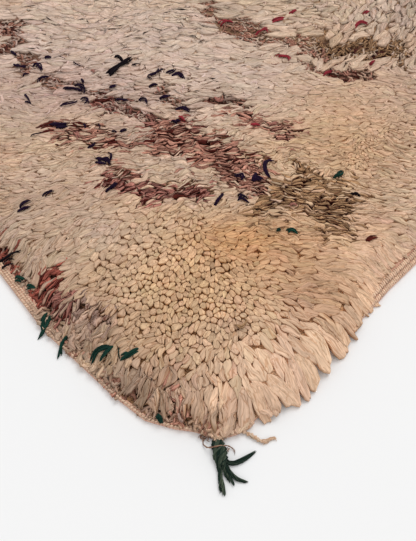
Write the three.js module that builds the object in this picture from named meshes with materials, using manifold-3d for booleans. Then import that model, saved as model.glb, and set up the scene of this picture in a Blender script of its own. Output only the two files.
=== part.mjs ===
// A hand-knotted wool runner with a thick shaggy pile, lying flat on a floor.
// Millimetres, +Z up, +Y along the runner's length. The origin is the middle of its underside.
// The corner that carries the small green tassel is at +X and -Y. The tassel, the thread that
// ties it, and the loose end of the selvedge cord lie on the floor just outside that corner.
import * as THREE from 'three';
import { mergeVertices } from 'three/addons/utils/BufferGeometryUtils.js';
import Module from 'manifold-3d';

const wasm = await Module();
wasm.setup();

// Driving sizes of the runner.
const runnerSize = { width: 900, length: 2400 };
const wovenEdge = 5;          // thickness of the bare woven cloth along an edge
const hangingEdge = 9;        // thickness of an edge that the pile hangs over
const hangingFrom = 8;        // a bare strip narrower than this starts to be hidden by pile
const pileHeight = 26;        // the pile stands this high above the floor
const pileSlope = 28;         // the pile rises from the bare strip to its full height over this
const hummock = { height: 1.5, across: 270, along: 430 };
const seatGap = 0.3;          // pieces that touch on the real runner are this far apart

// The four edges. A row gives a place along the edge, how far the cloth or the pile that hangs
// over it reaches outside the straight nominal edge (inside where negative), and the width of
// the woven strip that stays bare in front of the pile.
const tasselEnd = [
  { at: -450, reach: -14, bare: 6 },
  { at: -436, reach: -5, bare: 5 },
  { at: -380, reach: 2, bare: 4 },
  { at: -240, reach: -3, bare: 9 },
  { at: -120, reach: 3, bare: 5 },
  { at: 0, reach: -2, bare: 7 },
  { at: 120, reach: 1, bare: 12 },
  { at: 240, reach: 7, bare: 10 },
  { at: 330, reach: -3, bare: 4 },
  { at: 380, reach: -11, bare: 3 },
  { at: 410, reach: -27, bare: 3 },
  { at: 426, reach: -39, bare: 3 },
  { at: 436, reach: -45, bare: 3 },
  { at: 450, reach: -50, bare: 3 },
];
const tasselSide = [
  { at: -1200, reach: -9, bare: 3 },
  { at: -1176, reach: 0, bare: 3 },
  { at: -1130, reach: 5, bare: 2 },
  { at: -1105, reach: 8, bare: 0 },
  { at: -1080, reach: 18, bare: 0 },
  { at: -1055, reach: 22, bare: 0 },
  { at: -1005, reach: 20, bare: 0 },
  { at: -980, reach: 15, bare: 0 },
  { at: -955, reach: 11, bare: 0 },
  { at: -930, reach: 3, bare: 2 },
  { at: -905, reach: 1, bare: 8 },
  { at: -880, reach: -1, bare: 14 },
  { at: -780, reach: -2, bare: 14 },
  { at: -600, reach: 3, bare: 8 },
  { at: -420, reach: 9, bare: 1 },
  { at: -240, reach: -1, bare: 12 },
  { at: 60, reach: 2, bare: 10 },
  { at: 300, reach: 10, bare: 1 },
  { at: 540, reach: -2, bare: 12 },
  { at: 840, reach: 4, bare: 7 },
  { at: 1130, reach: 0, bare: 5 },
  { at: 1200, reach: -14, bare: 5 },
];
const plainEnd = [
  { at: -450, reach: -15, bare: 5 },
  { at: -426, reach: -4, bare: 6 },
  { at: -330, reach: 2, bare: 9 },
  { at: -120, reach: -3, bare: 5 },
  { at: 120, reach: 4, bare: 8 },
  { at: 330, reach: -1, bare: 5 },
  { at: 426, reach: -5, bare: 6 },
  { at: 450, reach: -15, bare: 5 },
];
const plainSide = [
  { at: -1200, reach: -15, bare: 5 },
  { at: -1130, reach: -2, bare: 6 },
  { at: -880, reach: 6, bare: 3 },
  { at: -660, reach: -1, bare: 12 },
  { at: -420, reach: 2, bare: 8 },
  { at: -180, reach: 12, bare: 0 },
  { at: 60, reach: 1, bare: 9 },
  { at: 360, reach: -2, bare: 13 },
  { at: 660, reach: 8, bare: 2 },
  { at: 960, reach: -1, bare: 10 },
  { at: 1130, reach: -3, bare: 6 },
  { at: 1200, reach: -14, bare: 5 },
];
const edgeBlend = 120;        // an edge's reach fades out this far inside the runner

// Grid lines that shape the pile, as distances from an edge, and their spacing further in.
const linesFromEdge = [0, 7, 14, 24, 40, 70, 120];
const spacing = { across: 110, alongDetailed: 25, along: 60 };
const detailedUpTo = -780;    // the runner is drawn finely from the tassel's end up to here

// Yarns that lie loose. A row is a place on the yarn's middle line, with the width and height
// of the yarn there, and the height of its underside above the floor where it isn't 0.
const tasselYarns = {
  bundle: [
    { x: 441, y: -1149, wide: 9, high: 6 },
    { x: 446, y: -1153, wide: 12, high: 8 },
    { x: 454, y: -1158, wide: 13, high: 8 },
    { x: 461, y: -1163, wide: 10, high: 6 },
    { x: 465, y: -1165, wide: 6, high: 4 },
  ],
  longest: [
    { x: 456, y: -1162, wide: 5, high: 4 },
    { x: 461, y: -1166, wide: 4.5, high: 4 },
    { x: 465, y: -1168.5, wide: 3.6, high: 3.4 },
    { x: 469, y: -1172, wide: 3.8, high: 3 },
    { x: 476, y: -1176.5, wide: 5.6, high: 3 },
    { x: 481, y: -1180, wide: 6, high: 3 },
    { x: 484.5, y: -1184, wide: 3, high: 2 },
  ],
  middle: [
    { x: 455, y: -1159, wide: 5, high: 4 },
    { x: 464, y: -1162, wide: 5, high: 4 },
    { x: 469, y: -1164.5, wide: 5, high: 3.6 },
    { x: 475, y: -1166, wide: 4.5, high: 3.2 },
    { x: 480, y: -1167, wide: 4, high: 3 },
    { x: 484, y: -1167.5, wide: 2.5, high: 2 },
  ],
  curled: [
    { x: 457, y: -1157, wide: 5, high: 4 },
    { x: 465, y: -1160.5, wide: 4, high: 4 },
    { x: 473, y: -1162, wide: 4, high: 3.4 },
    { x: 480, y: -1161, wide: 3.5, high: 3 },
    { x: 485, y: -1158.5, wide: 2.8, high: 2.4 },
    { x: 491, y: -1155, wide: 1.5, high: 1.4 },
  ],
  upturned: [
    { x: 452, y: -1154, wide: 5, high: 4 },
    { x: 459, y: -1157, wide: 4.5, high: 4 },
    { x: 464, y: -1156.5, wide: 4, high: 3.6 },
    { x: 468, y: -1153, wide: 4, high: 3.4 },
    { x: 470.5, y: -1147.5, wide: 4.4, high: 3.2 },
    { x: 472.5, y: -1140, wide: 4, high: 3 },
    { x: 473.5, y: -1134, wide: 3, high: 2.4 },
    { x: 474.5, y: -1128, wide: 1.5, high: 1.4 },
  ],
};
const tieThread = [
  { x: 428, y: -1154, wide: 1.8, high: 1.6 },
  { x: 431, y: -1160, wide: 1.8, high: 1.6 },
  { x: 435.5, y: -1162.5, wide: 1.8, high: 1.6, lift: 0.6 },
  { x: 440, y: -1162, wide: 1.8, high: 1.6, lift: 3.2 },
  { x: 443.5, y: -1159.5, wide: 1.8, high: 1.6, lift: 7 },
  { x: 447, y: -1154.5, wide: 1.8, high: 1.6, lift: 8.2 },
  { x: 450, y: -1149.5, wide: 1.8, high: 1.6, lift: 6.6 },
  { x: 452.5, y: -1146, wide: 1.8, high: 1.6, lift: 3 },
  { x: 455.5, y: -1143.5, wide: 1.8, high: 1.6, lift: 0.6 },
  { x: 458.5, y: -1143.5, wide: 1.8, high: 1.6 },
  { x: 462, y: -1146, wide: 1.6, high: 1.4 },
  { x: 465, y: -1149, wide: 1.4, high: 1.2 },
];
const selvedgeCordEnd = [
  { x: 450, y: -1125, wide: 6, high: 4.4 },
  { x: 456, y: -1123, wide: 6, high: 4.4 },
  { x: 462, y: -1121, wide: 5.5, high: 4.2 },
  { x: 466, y: -1120, wide: 5, high: 4 },
  { x: 469.5, y: -1119, wide: 4.4, high: 3.6 },
  { x: 472.5, y: -1117.5, wide: 3.6, high: 3 },
  { x: 474.5, y: -1114.5, wide: 2.8, high: 2.4 },
  { x: 475.5, y: -1110.5, wide: 2.2, high: 2 },
  { x: 477, y: -1107, wide: 2, high: 1.8 },
  { x: 479.5, y: -1105.5, wide: 1.8, high: 1.6 },
  { x: 482, y: -1106, wide: 1.4, high: 1.2 },
];
const yarnSides = 8;

// The value of a table's column at a place, easing from one row to the next.
function lookUp(table, at, column) {
  const next = table.findIndex((row) => row.at >= at);
  if (next <= 0) return table[next === 0 ? 0 : table.length - 1][column];
  const before = table[next - 1];
  const after = table[next];
  const share = THREE.MathUtils.smoothstep(at, before.at, after.at);
  return THREE.MathUtils.lerp(before[column], after[column], share);
}

// 1 at an edge, fading smoothly to 0 further in.
function nearEdge(distance) {
  return 1 - THREE.MathUtils.smoothstep(distance, 0, edgeBlend);
}

function distancesToEdges(x, y) {
  return {
    tasselSide: runnerSize.width / 2 - x,
    plainSide: runnerSize.width / 2 + x,
    tasselEnd: runnerSize.length / 2 + y,
    plainEnd: runnerSize.length / 2 - y,
  };
}

// Where a point of the straight nominal rectangle lies on the real, uneven runner.
function planPoint(x, y) {
  const away = distancesToEdges(x, y);
  return {
    x: x + nearEdge(away.tasselSide) * lookUp(tasselSide, y, 'reach')
      - nearEdge(away.plainSide) * lookUp(plainSide, y, 'reach'),
    y: y + nearEdge(away.plainEnd) * lookUp(plainEnd, x, 'reach')
      - nearEdge(away.tasselEnd) * lookUp(tasselEnd, x, 'reach'),
  };
}

// Height of the pile as one edge allows it: flat over the bare strip, then rising.
function riseFromEdge(distance, bare) {
  const hidden = 1 - Math.min(bare / hangingFrom, 1);
  const lip = THREE.MathUtils.lerp(wovenEdge, hangingEdge, hidden);
  const rise = THREE.MathUtils.smoothstep(distance, bare, bare + pileSlope);
  return THREE.MathUtils.lerp(lip, pileHeight, rise);
}

function topHeight(x, y) {
  const away = distancesToEdges(x, y);
  const height = Math.min(
    riseFromEdge(away.tasselSide, lookUp(tasselSide, y, 'bare')),
    riseFromEdge(away.plainSide, lookUp(plainSide, y, 'bare')),
    riseFromEdge(away.tasselEnd, lookUp(tasselEnd, x, 'bare')),
    riseFromEdge(away.plainEnd, lookUp(plainEnd, x, 'bare')),
  );
  const wave = Math.sin((2 * Math.PI * x) / hummock.across + y / hummock.along)
    * Math.cos((2 * Math.PI * y) / hummock.along);
  return height + (hummock.height * wave * (height - wovenEdge)) / pileHeight;
}

function linesAcross() {
  const half = runnerSize.width / 2;
  const lines = linesFromEdge.map((distance) => -half + distance);
  const inner = half - linesFromEdge.at(-1);
  const steps = Math.round((2 * inner) / spacing.across);
  for (let i = 1; i < steps; i += 1) lines.push(-inner + (2 * inner * i) / steps);
  return lines.concat(linesFromEdge.map((distance) => half - distance).reverse());
}

function linesAlong() {
  const half = runnerSize.length / 2;
  const lines = linesFromEdge.map((distance) => -half + distance);
  for (let y = lines.at(-1) + spacing.alongDetailed; y <= detailedUpTo; y += spacing.alongDetailed) {
    lines.push(y);
  }
  const last = half - linesFromEdge.at(-1);
  const steps = Math.round((last - lines.at(-1)) / spacing.along);
  const first = lines.at(-1);
  for (let i = 1; i < steps; i += 1) lines.push(first + ((last - first) * i) / steps);
  return lines.concat(linesFromEdge.map((distance) => half - distance).reverse());
}

// The runner's grid points, seen from above, and the order of those round its edge.
function runnerGrid() {
  const xs = linesAcross();
  const ys = linesAlong();
  const index = (i, j) => j * xs.length + i;
  const points = ys.flatMap((y) => xs.map((x) => ({ ...planPoint(x, y), z: topHeight(x, y) })));
  const border = [];
  for (let i = 0; i < xs.length - 1; i += 1) border.push(index(i, 0));
  for (let j = 0; j < ys.length - 1; j += 1) border.push(index(xs.length - 1, j));
  for (let i = xs.length - 1; i > 0; i -= 1) border.push(index(i, ys.length - 1));
  for (let j = ys.length - 1; j > 0; j -= 1) border.push(index(0, j));
  return { columns: xs.length, rows: ys.length, index, points, border };
}

// One closed solid: the pile's top, the thin wall round the edge and the flat underside.
function runnerGeometry(grid) {
  const { columns, rows, index, points, border } = grid;
  const positions = points.flatMap((point) => [point.x, point.y, point.z]);
  const faces = [];
  for (let j = 0; j < rows - 1; j += 1) {
    for (let i = 0; i < columns - 1; i += 1) {
      faces.push(index(i, j), index(i + 1, j), index(i + 1, j + 1));
      faces.push(index(i, j), index(i + 1, j + 1), index(i, j + 1));
    }
  }
  const floorStart = points.length;
  border.forEach((top) => positions.push(points[top].x, points[top].y, 0));
  border.forEach((top, i) => {
    const next = (i + 1) % border.length;
    faces.push(floorStart + i, floorStart + next, border[next]);
    faces.push(floorStart + i, border[next], top);
  });
  const outline = border.map((top) => new THREE.Vector2(points[top].x, points[top].y));
  THREE.ShapeUtils.triangulateShape(outline, []).forEach(([a, b, c]) => {
    faces.push(floorStart + c, floorStart + b, floorStart + a);
  });
  const geometry = new THREE.BufferGeometry();
  geometry.setAttribute('position', new THREE.Float32BufferAttribute(positions, 3));
  geometry.setIndex(faces);
  return geometry;
}

// The runner's outline grown by a gap, as a tall block that loose yarns are cut back from.
function keepOutBlock(grid, gap) {
  const ring = grid.border.map((top) => new THREE.Vector2(grid.points[top].x, grid.points[top].y));
  const grown = ring.map((point, i) => {
    const before = ring[(i + ring.length - 1) % ring.length];
    const after = ring[(i + 1) % ring.length];
    const along = after.clone().sub(before).normalize();
    return new THREE.Vector2(point.x + along.y * gap, point.y - along.x * gap);
  });
  const block = new THREE.ExtrudeGeometry(new THREE.Shape(grown), {
    depth: 3 * pileHeight,
    bevelEnabled: false,
  });
  block.translate(0, 0, -pileHeight);
  return block;
}

// A loose yarn with a flat spot along its underside: an eight-sided ring at each row.
function yarnGeometry(rows, grow = 0) {
  const positions = [];
  const faces = [];
  rows.forEach((row, i) => {
    const before = rows[Math.max(i - 1, 0)];
    const after = rows[Math.min(i + 1, rows.length - 1)];
    const along = new THREE.Vector2(after.x - before.x, after.y - before.y).normalize();
    const firstAngle = Math.PI / yarnSides;
    const tall = (row.high / 2) * Math.cos(firstAngle);
    for (let k = 0; k < yarnSides; k += 1) {
      const angle = firstAngle + (2 * Math.PI * k) / yarnSides;
      const side = Math.cos(angle) * (row.wide / 2 + grow);
      const up = Math.sin(angle) * (row.high / 2 + grow);
      positions.push(row.x + along.y * side, row.y - along.x * side, (row.lift ?? 0) + tall + up);
    }
  });
  for (let i = 0; i < rows.length - 1; i += 1) {
    for (let k = 0; k < yarnSides; k += 1) {
      const a = i * yarnSides + k;
      const b = i * yarnSides + ((k + 1) % yarnSides);
      faces.push(a, a + yarnSides, b + yarnSides, a, b + yarnSides, b);
    }
  }
  const last = (rows.length - 1) * yarnSides;
  for (let k = 1; k < yarnSides - 1; k += 1) {
    faces.push(0, k, k + 1);
    faces.push(last, last + k + 1, last + k);
  }
  const geometry = new THREE.BufferGeometry();
  geometry.setAttribute('position', new THREE.Float32BufferAttribute(positions, 3));
  geometry.setIndex(faces);
  return geometry;
}

// The closed body that a geometry bounds, ready to join or cut.
function toSolid(geometry) {
  const bare = geometry.clone();
  bare.deleteAttribute('normal');
  bare.deleteAttribute('uv');
  const merged = mergeVertices(bare);
  return new wasm.Manifold(new wasm.Mesh({
    numProp: 3,
    vertProperties: new Float32Array(merged.attributes.position.array),
    triVerts: new Uint32Array(merged.index.array),
  }));
}

function toGeometry(solid) {
  const mesh = solid.getMesh();
  const geometry = new THREE.BufferGeometry();
  geometry.setAttribute('position', new THREE.Float32BufferAttribute(mesh.vertProperties, 3));
  geometry.setIndex(Array.from(mesh.triVerts));
  return geometry;
}

// Several yarns that are one bundle.
function joinYarns(tables, grow = 0) {
  return tables
    .map((rows) => toSolid(yarnGeometry(rows, grow)))
    .reduce((whole, yarn) => whole.add(yarn));
}

function woolMaterial(color) {
  return new THREE.MeshStandardMaterial({ color, roughness: 0.95, metalness: 0 });
}

function piece(name, geometry, material) {
  geometry.computeVertexNormals();
  const mesh = new THREE.Mesh(geometry, material);
  mesh.name = name;
  return mesh;
}

const grid = runnerGrid();
const keepOut = toSolid(keepOutBlock(grid, seatGap));
const tasselTables = Object.values(tasselYarns);
const tassel = joinYarns(tasselTables).subtract(keepOut);
const tie = toSolid(yarnGeometry(tieThread)).subtract(keepOut).subtract(joinYarns(tasselTables, seatGap));
const cordEnd = toSolid(yarnGeometry(selvedgeCordEnd)).subtract(keepOut);

const runner = new THREE.Group();
runner.add(piece('runner', runnerGeometry(grid), woolMaterial(0xbd9a7c)));
runner.add(piece('corner_tassel', toGeometry(tassel), woolMaterial(0x1f3a2d)));
runner.add(piece('tassel_tie', toGeometry(tie), woolMaterial(0xa07c68)));
runner.add(piece('selvedge_cord_end', toGeometry(cordEnd), woolMaterial(0xcda98a)));

export default runner;
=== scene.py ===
# %% [markdown]
# # A runner with a shaggy wool pile
#
# The real runner is a long, narrow rug, about 0.9 m by 2.4 m. Wool locks are knotted by hand
# into a plain woven ground, row after row, and left long, so the top is a thick pile.
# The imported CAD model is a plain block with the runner's outline and height. This script puts
# the real surfaces round it: the woven ground, the locks, the stray dyed knots and the tassel.

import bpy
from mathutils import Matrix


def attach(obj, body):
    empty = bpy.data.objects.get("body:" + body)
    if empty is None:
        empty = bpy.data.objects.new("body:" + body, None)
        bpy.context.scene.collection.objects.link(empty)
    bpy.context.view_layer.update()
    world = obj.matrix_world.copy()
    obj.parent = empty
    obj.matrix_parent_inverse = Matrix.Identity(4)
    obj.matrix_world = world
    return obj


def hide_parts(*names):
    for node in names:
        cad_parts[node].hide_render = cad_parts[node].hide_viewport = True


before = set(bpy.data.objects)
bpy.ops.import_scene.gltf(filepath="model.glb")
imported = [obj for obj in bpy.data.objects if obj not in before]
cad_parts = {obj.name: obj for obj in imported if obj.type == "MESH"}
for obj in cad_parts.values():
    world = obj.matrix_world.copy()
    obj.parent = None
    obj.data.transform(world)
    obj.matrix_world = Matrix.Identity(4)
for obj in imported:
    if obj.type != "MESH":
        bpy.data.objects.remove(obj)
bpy.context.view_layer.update()  # brings the moved parts up to date

# %% What else the script uses
import math

import bmesh
import bpy
import numpy as np
from mathutils import Matrix, Vector
from mathutils.bvhtree import BVHTree

MM = 0.001  # one millimetre, in metres

# %% [markdown]
# ## The camera
#
# A camera can be aimed by trial, or worked out from what the picture shows. Here the two
# edges of the runner meet at a square corner, and the tufts shrink with distance. Together
# they give the height of the eye, the tilt and the focal length, so the camera is placed
# by numbers. Its picture is 416 by 541 pixels.

# %% Camera
def add_object(name, data):
    """A new object in the scene, from the data of a mesh, a camera or a lamp."""
    made = bpy.data.objects.new(name, data)
    bpy.context.scene.collection.objects.link(made)
    return made


picture_wide, picture_high = 416, 541
focal_pixels = 560
tuft_height = 0.024  # the tips that the camera sees, above the floor
eye = Vector((0.5662, -1.2783, 0.55))
tilt = math.radians(55)
over_floor = Vector((-0.7325, 0.6807, 0))
rightwards = Vector((0.6807, 0.7325, 0))
looking = over_floor * math.cos(tilt) + Vector((0, 0, -math.sin(tilt)))
upwards = rightwards.cross(looking)

camera_data = bpy.data.cameras.new("camera")
camera_data.sensor_width = 36
camera_data.lens = camera_data.sensor_width * focal_pixels / picture_high
camera = add_object("camera", camera_data)
turn = Matrix((rightwards, upwards, -looking)).transposed().to_4x4()
camera.matrix_world = Matrix.Translation(eye) @ turn
bpy.context.scene.camera = camera
print("lens:", round(camera_data.lens, 2), "mm")


# %% From the picture to the runner and back
def spot(px, py, height=0.0):
    """Where the line of sight through a pixel of the picture meets a level plane."""
    ray = looking + rightwards * ((px - picture_wide / 2) / focal_pixels)
    ray += upwards * ((picture_high / 2 - py) / focal_pixels)
    return eye + ray * ((height - eye.z) / ray.z)


def pixels(x, y):
    """The picture's pixels that show points of the pile."""
    away = np.stack([x - eye.x, y - eye.y, np.full_like(x, tuft_height - eye.z)], axis=-1)
    depth = np.maximum(away @ np.array(looking), 0.05)  # never behind the camera
    px = picture_wide / 2 + focal_pixels * (away @ np.array(rightwards)) / depth
    py = picture_high / 2 - focal_pixels * (away @ np.array(upwards)) / depth
    return px, py


print("middle of the picture:", [round(value, 3) for value in spot(208, 270.5)])

# %% [markdown]
# ## The height of the pile
#
# Every lock has to lie on the runner, so the script needs the height of the pile anywhere.
# It could repeat the CAD's tables. It is safer to measure the CAD block itself: rays go
# straight down on a 5 mm grid, and places between the rays are blended.

# %% Measure the CAD block
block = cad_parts["runner"]
block_tree = BVHTree.FromPolygons(
    [corner.co.copy() for corner in block.data.vertices],
    [list(face.vertices) for face in block.data.polygons],
)
step = 0.005  # between the rays, in metres
grid_x = np.arange(-0.52, 0.5201, step)
grid_y = np.arange(-1.26, 1.2601, step)


def drop(x, y):
    """Height at which a ray falling straight down meets the CAD block."""
    hit = block_tree.ray_cast(Vector((x, y, 1)), Vector((0, 0, -1)))[0]
    return hit.z if hit else 0.0


measured = np.array([[drop(x, y) for x in grid_x] for y in grid_y])
print("pile height:", round(measured.max() / MM, 1), "mm at most")


# %% Look the height up
def blend(first, second, amount):
    """A mix of two values: all of the first at 0 and all of the second at 1."""
    return first * (1 - amount) + second * amount


def soften(field, times):
    """Blurs a grid a little, so a lock bends over an edge instead of breaking."""
    for _ in range(times):
        padded = np.pad(field, 1, mode="edge")
        field = (
            padded[1:-1, 1:-1] * 4
            + padded[:-2, 1:-1] + padded[2:, 1:-1]
            + padded[1:-1, :-2] + padded[1:-1, 2:]
        ) / 8
    return field


softened = soften(measured, 3)


def look_up(field, x, y):
    """A grid's value at many places, blended between its four nearest points."""
    across = np.clip((x - grid_x[0]) / step, 0, len(grid_x) - 1.001)
    along = np.clip((y - grid_y[0]) / step, 0, len(grid_y) - 1.001)
    i, j = across.astype(int), along.astype(int)
    u, v = across - i, along - j
    near = blend(field[j, i], field[j, i + 1], u)
    far = blend(field[j + 1, i], field[j + 1, i + 1], u)
    return blend(near, far, v)


slope_y, slope_x = np.gradient(soften(measured, 40), step)  # of the whole pile, not one lock
print("height in the middle:", round(float(look_up(measured, 0.0, 0.0)) / MM, 1), "mm")

# %% [markdown]
# ## Chance
#
# Handwork is never even. Two kinds of chance are used: a seeded random generator, for
# differences from one lock to the next, and drift, a smooth wandering value, for what
# neighbouring locks share, such as the way they lie.

# %% Drift
random = np.random.default_rng(1147)
lattice_side = 64  # drift repeats only after so many of its own sizes


def smoothstep(share):
    """Eases a share from 0 to 1, so that it starts and ends level."""
    return share * share * (3 - 2 * share)


def drift(x, y, size, seed):
    """A smooth value from -1 to 1 that wanders over a distance of about size metres."""
    lattice = np.random.default_rng(seed).uniform(-1, 1, (lattice_side, lattice_side))
    u, v = x / size + 1000, y / size + 1000  # 1000 keeps both above zero
    i, j = np.floor(u).astype(int), np.floor(v).astype(int)
    u, v = smoothstep(u - i), smoothstep(v - j)
    i, j = i % lattice_side, j % lattice_side
    i2, j2 = (i + 1) % lattice_side, (j + 1) % lattice_side
    near = blend(lattice[j, i], lattice[j, i2], u)
    far = blend(lattice[j2, i], lattice[j2, i2], u)
    return blend(near, far, v)


# %% [markdown]
# ## Colours
#
# The wool is mostly undyed: creams, honeys and pinkish greys that have aged in patches.
# Shades are written as the hex values that a screen shows. Blender works with light, which
# is linear, so one function turns them over.

# %% Shades
def linear(shade):
    """An sRGB hex shade as linear red, green and blue."""
    parts = [int(shade[i:i + 2], 16) / 255 for i in (1, 3, 5)]
    return np.array([p / 12.92 if p <= 0.04045 else ((p + 0.055) / 1.055) ** 2.4 for p in parts])


wool = {
    "cream": linear("#DFC9BB"),
    "straw": linear("#E6C8A6"),
    "yellow": linear("#EBC59C"),
    "honey": linear("#E2AC78"),
    "pink": linear("#F1CCAF"),
    "mauve": linear("#B09283"),
    "plum": linear("#B4909A"),
    "brown": linear("#C48D79"),
    "olive": linear("#B48D68"),
    "dark": linear("#561D14"),
    "maroon": linear("#B0776A"),
    "rust": linear("#B06152"),
    "purple": linear("#1F0A26"),
    "red": linear("#96303A"),
    "green": linear("#15372D"),
    "black": linear("#12050F"),
}

# %% [markdown]
# ## Wool as a material
#
# Wool scatters light from thousands of fine crimped fibres, so it has no shine, only a
# faint sheen at grazing angles. Fibres of 0.03 mm are far too fine to show, so the streaks
# are drawn about 1 mm apart, as the small bundles that the eye picks out in a lock.
# The streaks follow each lock, because they read the lock's own coordinates, which the mesh
# carries in millimetres as an attribute called fibre. A second attribute, tint, carries the
# dyed colour, darkened at the root and in the gaps as painted shade.

# %% Build a node material
def add_node(tree, kind, settings=(), inputs=(), links=()):
    """Adds one node, with its settings, the values of its sockets and the links into it."""
    node = tree.nodes.new(kind)
    for name, value in dict(settings).items():
        setattr(node, name, value)
    for name, value in dict(inputs).items():
        node.inputs[name].default_value = value
    for name, source in dict(links).items():
        tree.links.new(source, node.inputs[name])
    return node


def new_material(name):
    """An empty node material, and its tree."""
    material = bpy.data.materials.new(name)
    material.use_nodes = True
    material.node_tree.nodes.clear()
    return material, material.node_tree


def add_attributes(tree):
    """Nodes that read the tint and the fibre place of each lock."""
    return [add_node(tree, "ShaderNodeAttribute", {"attribute_name": name})
            for name in ("tint", "fibre")]


def add_sum(tree, operation, *terms):
    """One step of arithmetic on numbers and on the outputs of other nodes."""
    numbers = {place: term for place, term in enumerate(terms) if isinstance(term, (int, float))}
    sources = {place: term for place, term in enumerate(terms) if place not in numbers}
    made = add_node(tree, "ShaderNodeMath", {"operation": operation}, numbers, sources)
    return made.outputs["Value"]


def add_range(tree, source, old, new, **settings):
    """A node that turns one range of values into another."""
    return add_node(
        tree, "ShaderNodeMapRange", settings,
        inputs={"From Min": old[0], "From Max": old[1], "To Min": new[0], "To Max": new[1]},
        links={"Value": source},
    )


def add_noise(tree, place, scale, detail):
    """Noise over the object itself. A scale of 1000 would repeat about every millimetre."""
    return add_node(
        tree, "ShaderNodeTexNoise", inputs={"Scale": scale, "Detail": detail},
        links={"Vector": place.outputs["Object"]},
    )


# %% Streaks, creases and bumps
def add_strands(tree, fibre, size_mm, roughness, distortion):
    """Noise drawn out along the fibres, with its size each way in millimetres."""
    stretched = add_node(
        tree, "ShaderNodeMapping",
        inputs={"Scale": [1 / size for size in size_mm]},
        links={"Vector": fibre.outputs["Vector"]},
    )
    return add_node(
        tree, "ShaderNodeTexNoise",
        inputs={"Scale": 1.0, "Detail": 2.0, "Roughness": roughness, "Distortion": distortion},
        links={"Vector": stretched.outputs["Vector"]},
    )


def add_creases(tree, fibre, crease_mm, thin, distortion=0.7):
    """Nodes that give 1 on thin winding lines between strands, and 0 away from them."""
    strands = add_strands(tree, fibre, crease_mm, 0.5, distortion)
    from_crease = add_sum(tree, "ABSOLUTE", add_sum(tree, "SUBTRACT", strands.outputs["Fac"], 0.5))
    return add_range(tree, from_crease, (0.0, thin), (1.0, 0.0), interpolation_type="SMOOTHSTEP")


def add_shade(tree, tint, light):
    """The tint, made lighter or darker."""
    return add_node(
        tree, "ShaderNodeVectorMath", {"operation": "SCALE"},
        links={0: tint.outputs["Color"], "Scale": light},
    )


def add_surface(tree, colour, height, values, strength, bump_mm, sunk=False):
    """Matt wool with fine bumps, linked to the material's output."""
    bump = add_node(
        tree, "ShaderNodeBump", {"invert": sunk},
        inputs={"Strength": strength, "Distance": bump_mm * MM}, links={"Height": height},
    )
    surface = add_node(
        tree, "ShaderNodeBsdfPrincipled", inputs=values,
        links={"Base Color": colour, "Normal": bump.outputs["Normal"]},
    )
    add_node(tree, "ShaderNodeOutputMaterial", links={"Surface": surface.outputs["BSDF"]})


# %% Wool of each kind
def wool_material(name, streak_mm=(2.2, 2.2, 16), streak_depth=0.6, bump_mm=1.4, sheen=0.08,
                  crease_mm=(4, 4, 20), crease_painted_shade=(1, 1, 1), thin=0.035):
    """Matt wool whose streaks and creases run along the lock or yarn."""
    material, tree = new_material(name)
    tint, fibre = add_attributes(tree)
    streaks = add_strands(tree, fibre, streak_mm, 0.65, 0.5)
    place = add_node(tree, "ShaderNodeTexCoord")
    patches = add_noise(tree, place, 25.0, 2.0)  # 40 mm patches that took dust and sun differently
    streak_light = add_range(tree, streaks.outputs["Fac"], (0.3, 0.7),
                             (1 - streak_depth, 1 + streak_depth * 0.5))
    patch_light = add_range(tree, patches.outputs["Fac"], (0.3, 0.7), (0.92, 1.06))
    light = add_sum(tree, "MULTIPLY", streak_light.outputs["Result"], patch_light.outputs["Result"])
    plain = add_shade(tree, tint, light)
    crease = add_creases(tree, fibre, crease_mm, thin)
    # the creases are darkened here: painted shade between the strands
    colour = add_node(
        tree, "ShaderNodeMix", {"data_type": "RGBA", "blend_type": "MULTIPLY"},
        inputs={7: (*crease_painted_shade, 1)},
        links={0: crease.outputs["Result"], 6: plain.outputs["Vector"]},
    )
    dip = -0.5 if min(crease_painted_shade) < 1 else 0.0  # only creases that show are sunk
    height = add_sum(tree, "MULTIPLY_ADD", crease.outputs["Result"], dip, streaks.outputs["Fac"])
    add_surface(tree, colour.outputs[2], height,
                {"Roughness": 0.9, "Specular IOR Level": 0.1, "Sheen Weight": sheen}, 0.6, bump_mm)
    return material


# The colour that each material's creases are multiplied by is painted shade.
# Sizes are in millimetres: across the lock twice, then along it.
pile_wool = wool_material("undyed_pile_wool", streak_depth=0.5, crease_mm=(3.6, 3.6, 20),
                          crease_painted_shade=(0.66, 0.53, 0.45))
pressed_wool = wool_material("pressed_pile_wool", streak_depth=0.35, bump_mm=1.0, sheen=0.05,
                             crease_mm=(6, 6, 7), crease_painted_shade=(0.80, 0.72, 0.66))
combed_wool = wool_material("combed_pile_wool", streak_depth=0.4, bump_mm=1.0, sheen=0.05,
                            crease_mm=(3.8, 3.8, 17), crease_painted_shade=(0.70, 0.58, 0.50))
matted_wool = wool_material("matted_pile_wool", streak_depth=0.3, bump_mm=1.0, sheen=0.05,
                            crease_mm=(3.6, 3.6, 14), crease_painted_shade=(0.82, 0.75, 0.69), thin=0.05)
hanging_wool = wool_material("hanging_pile_wool", streak_depth=0.28, bump_mm=0.9, sheen=0.05,
                             crease_mm=(5.5, 5.5, 28), crease_painted_shade=(0.74, 0.63, 0.55))
brown_wool = wool_material("brown_pile_wool", sheen=0.03, crease_mm=(2.8, 2.8, 15),
                           crease_painted_shade=(0.38, 0.19, 0.15))
dyed_wool = wool_material("dyed_knot_wool", streak_mm=(0.9, 0.9, 8), sheen=0.02)
yarn_wool = wool_material("plied_wool_yarn", streak_mm=(0.6, 0.6, 5), streak_depth=0.5)
print("wool for the pile, the dyed knots and the yarns made")

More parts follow.
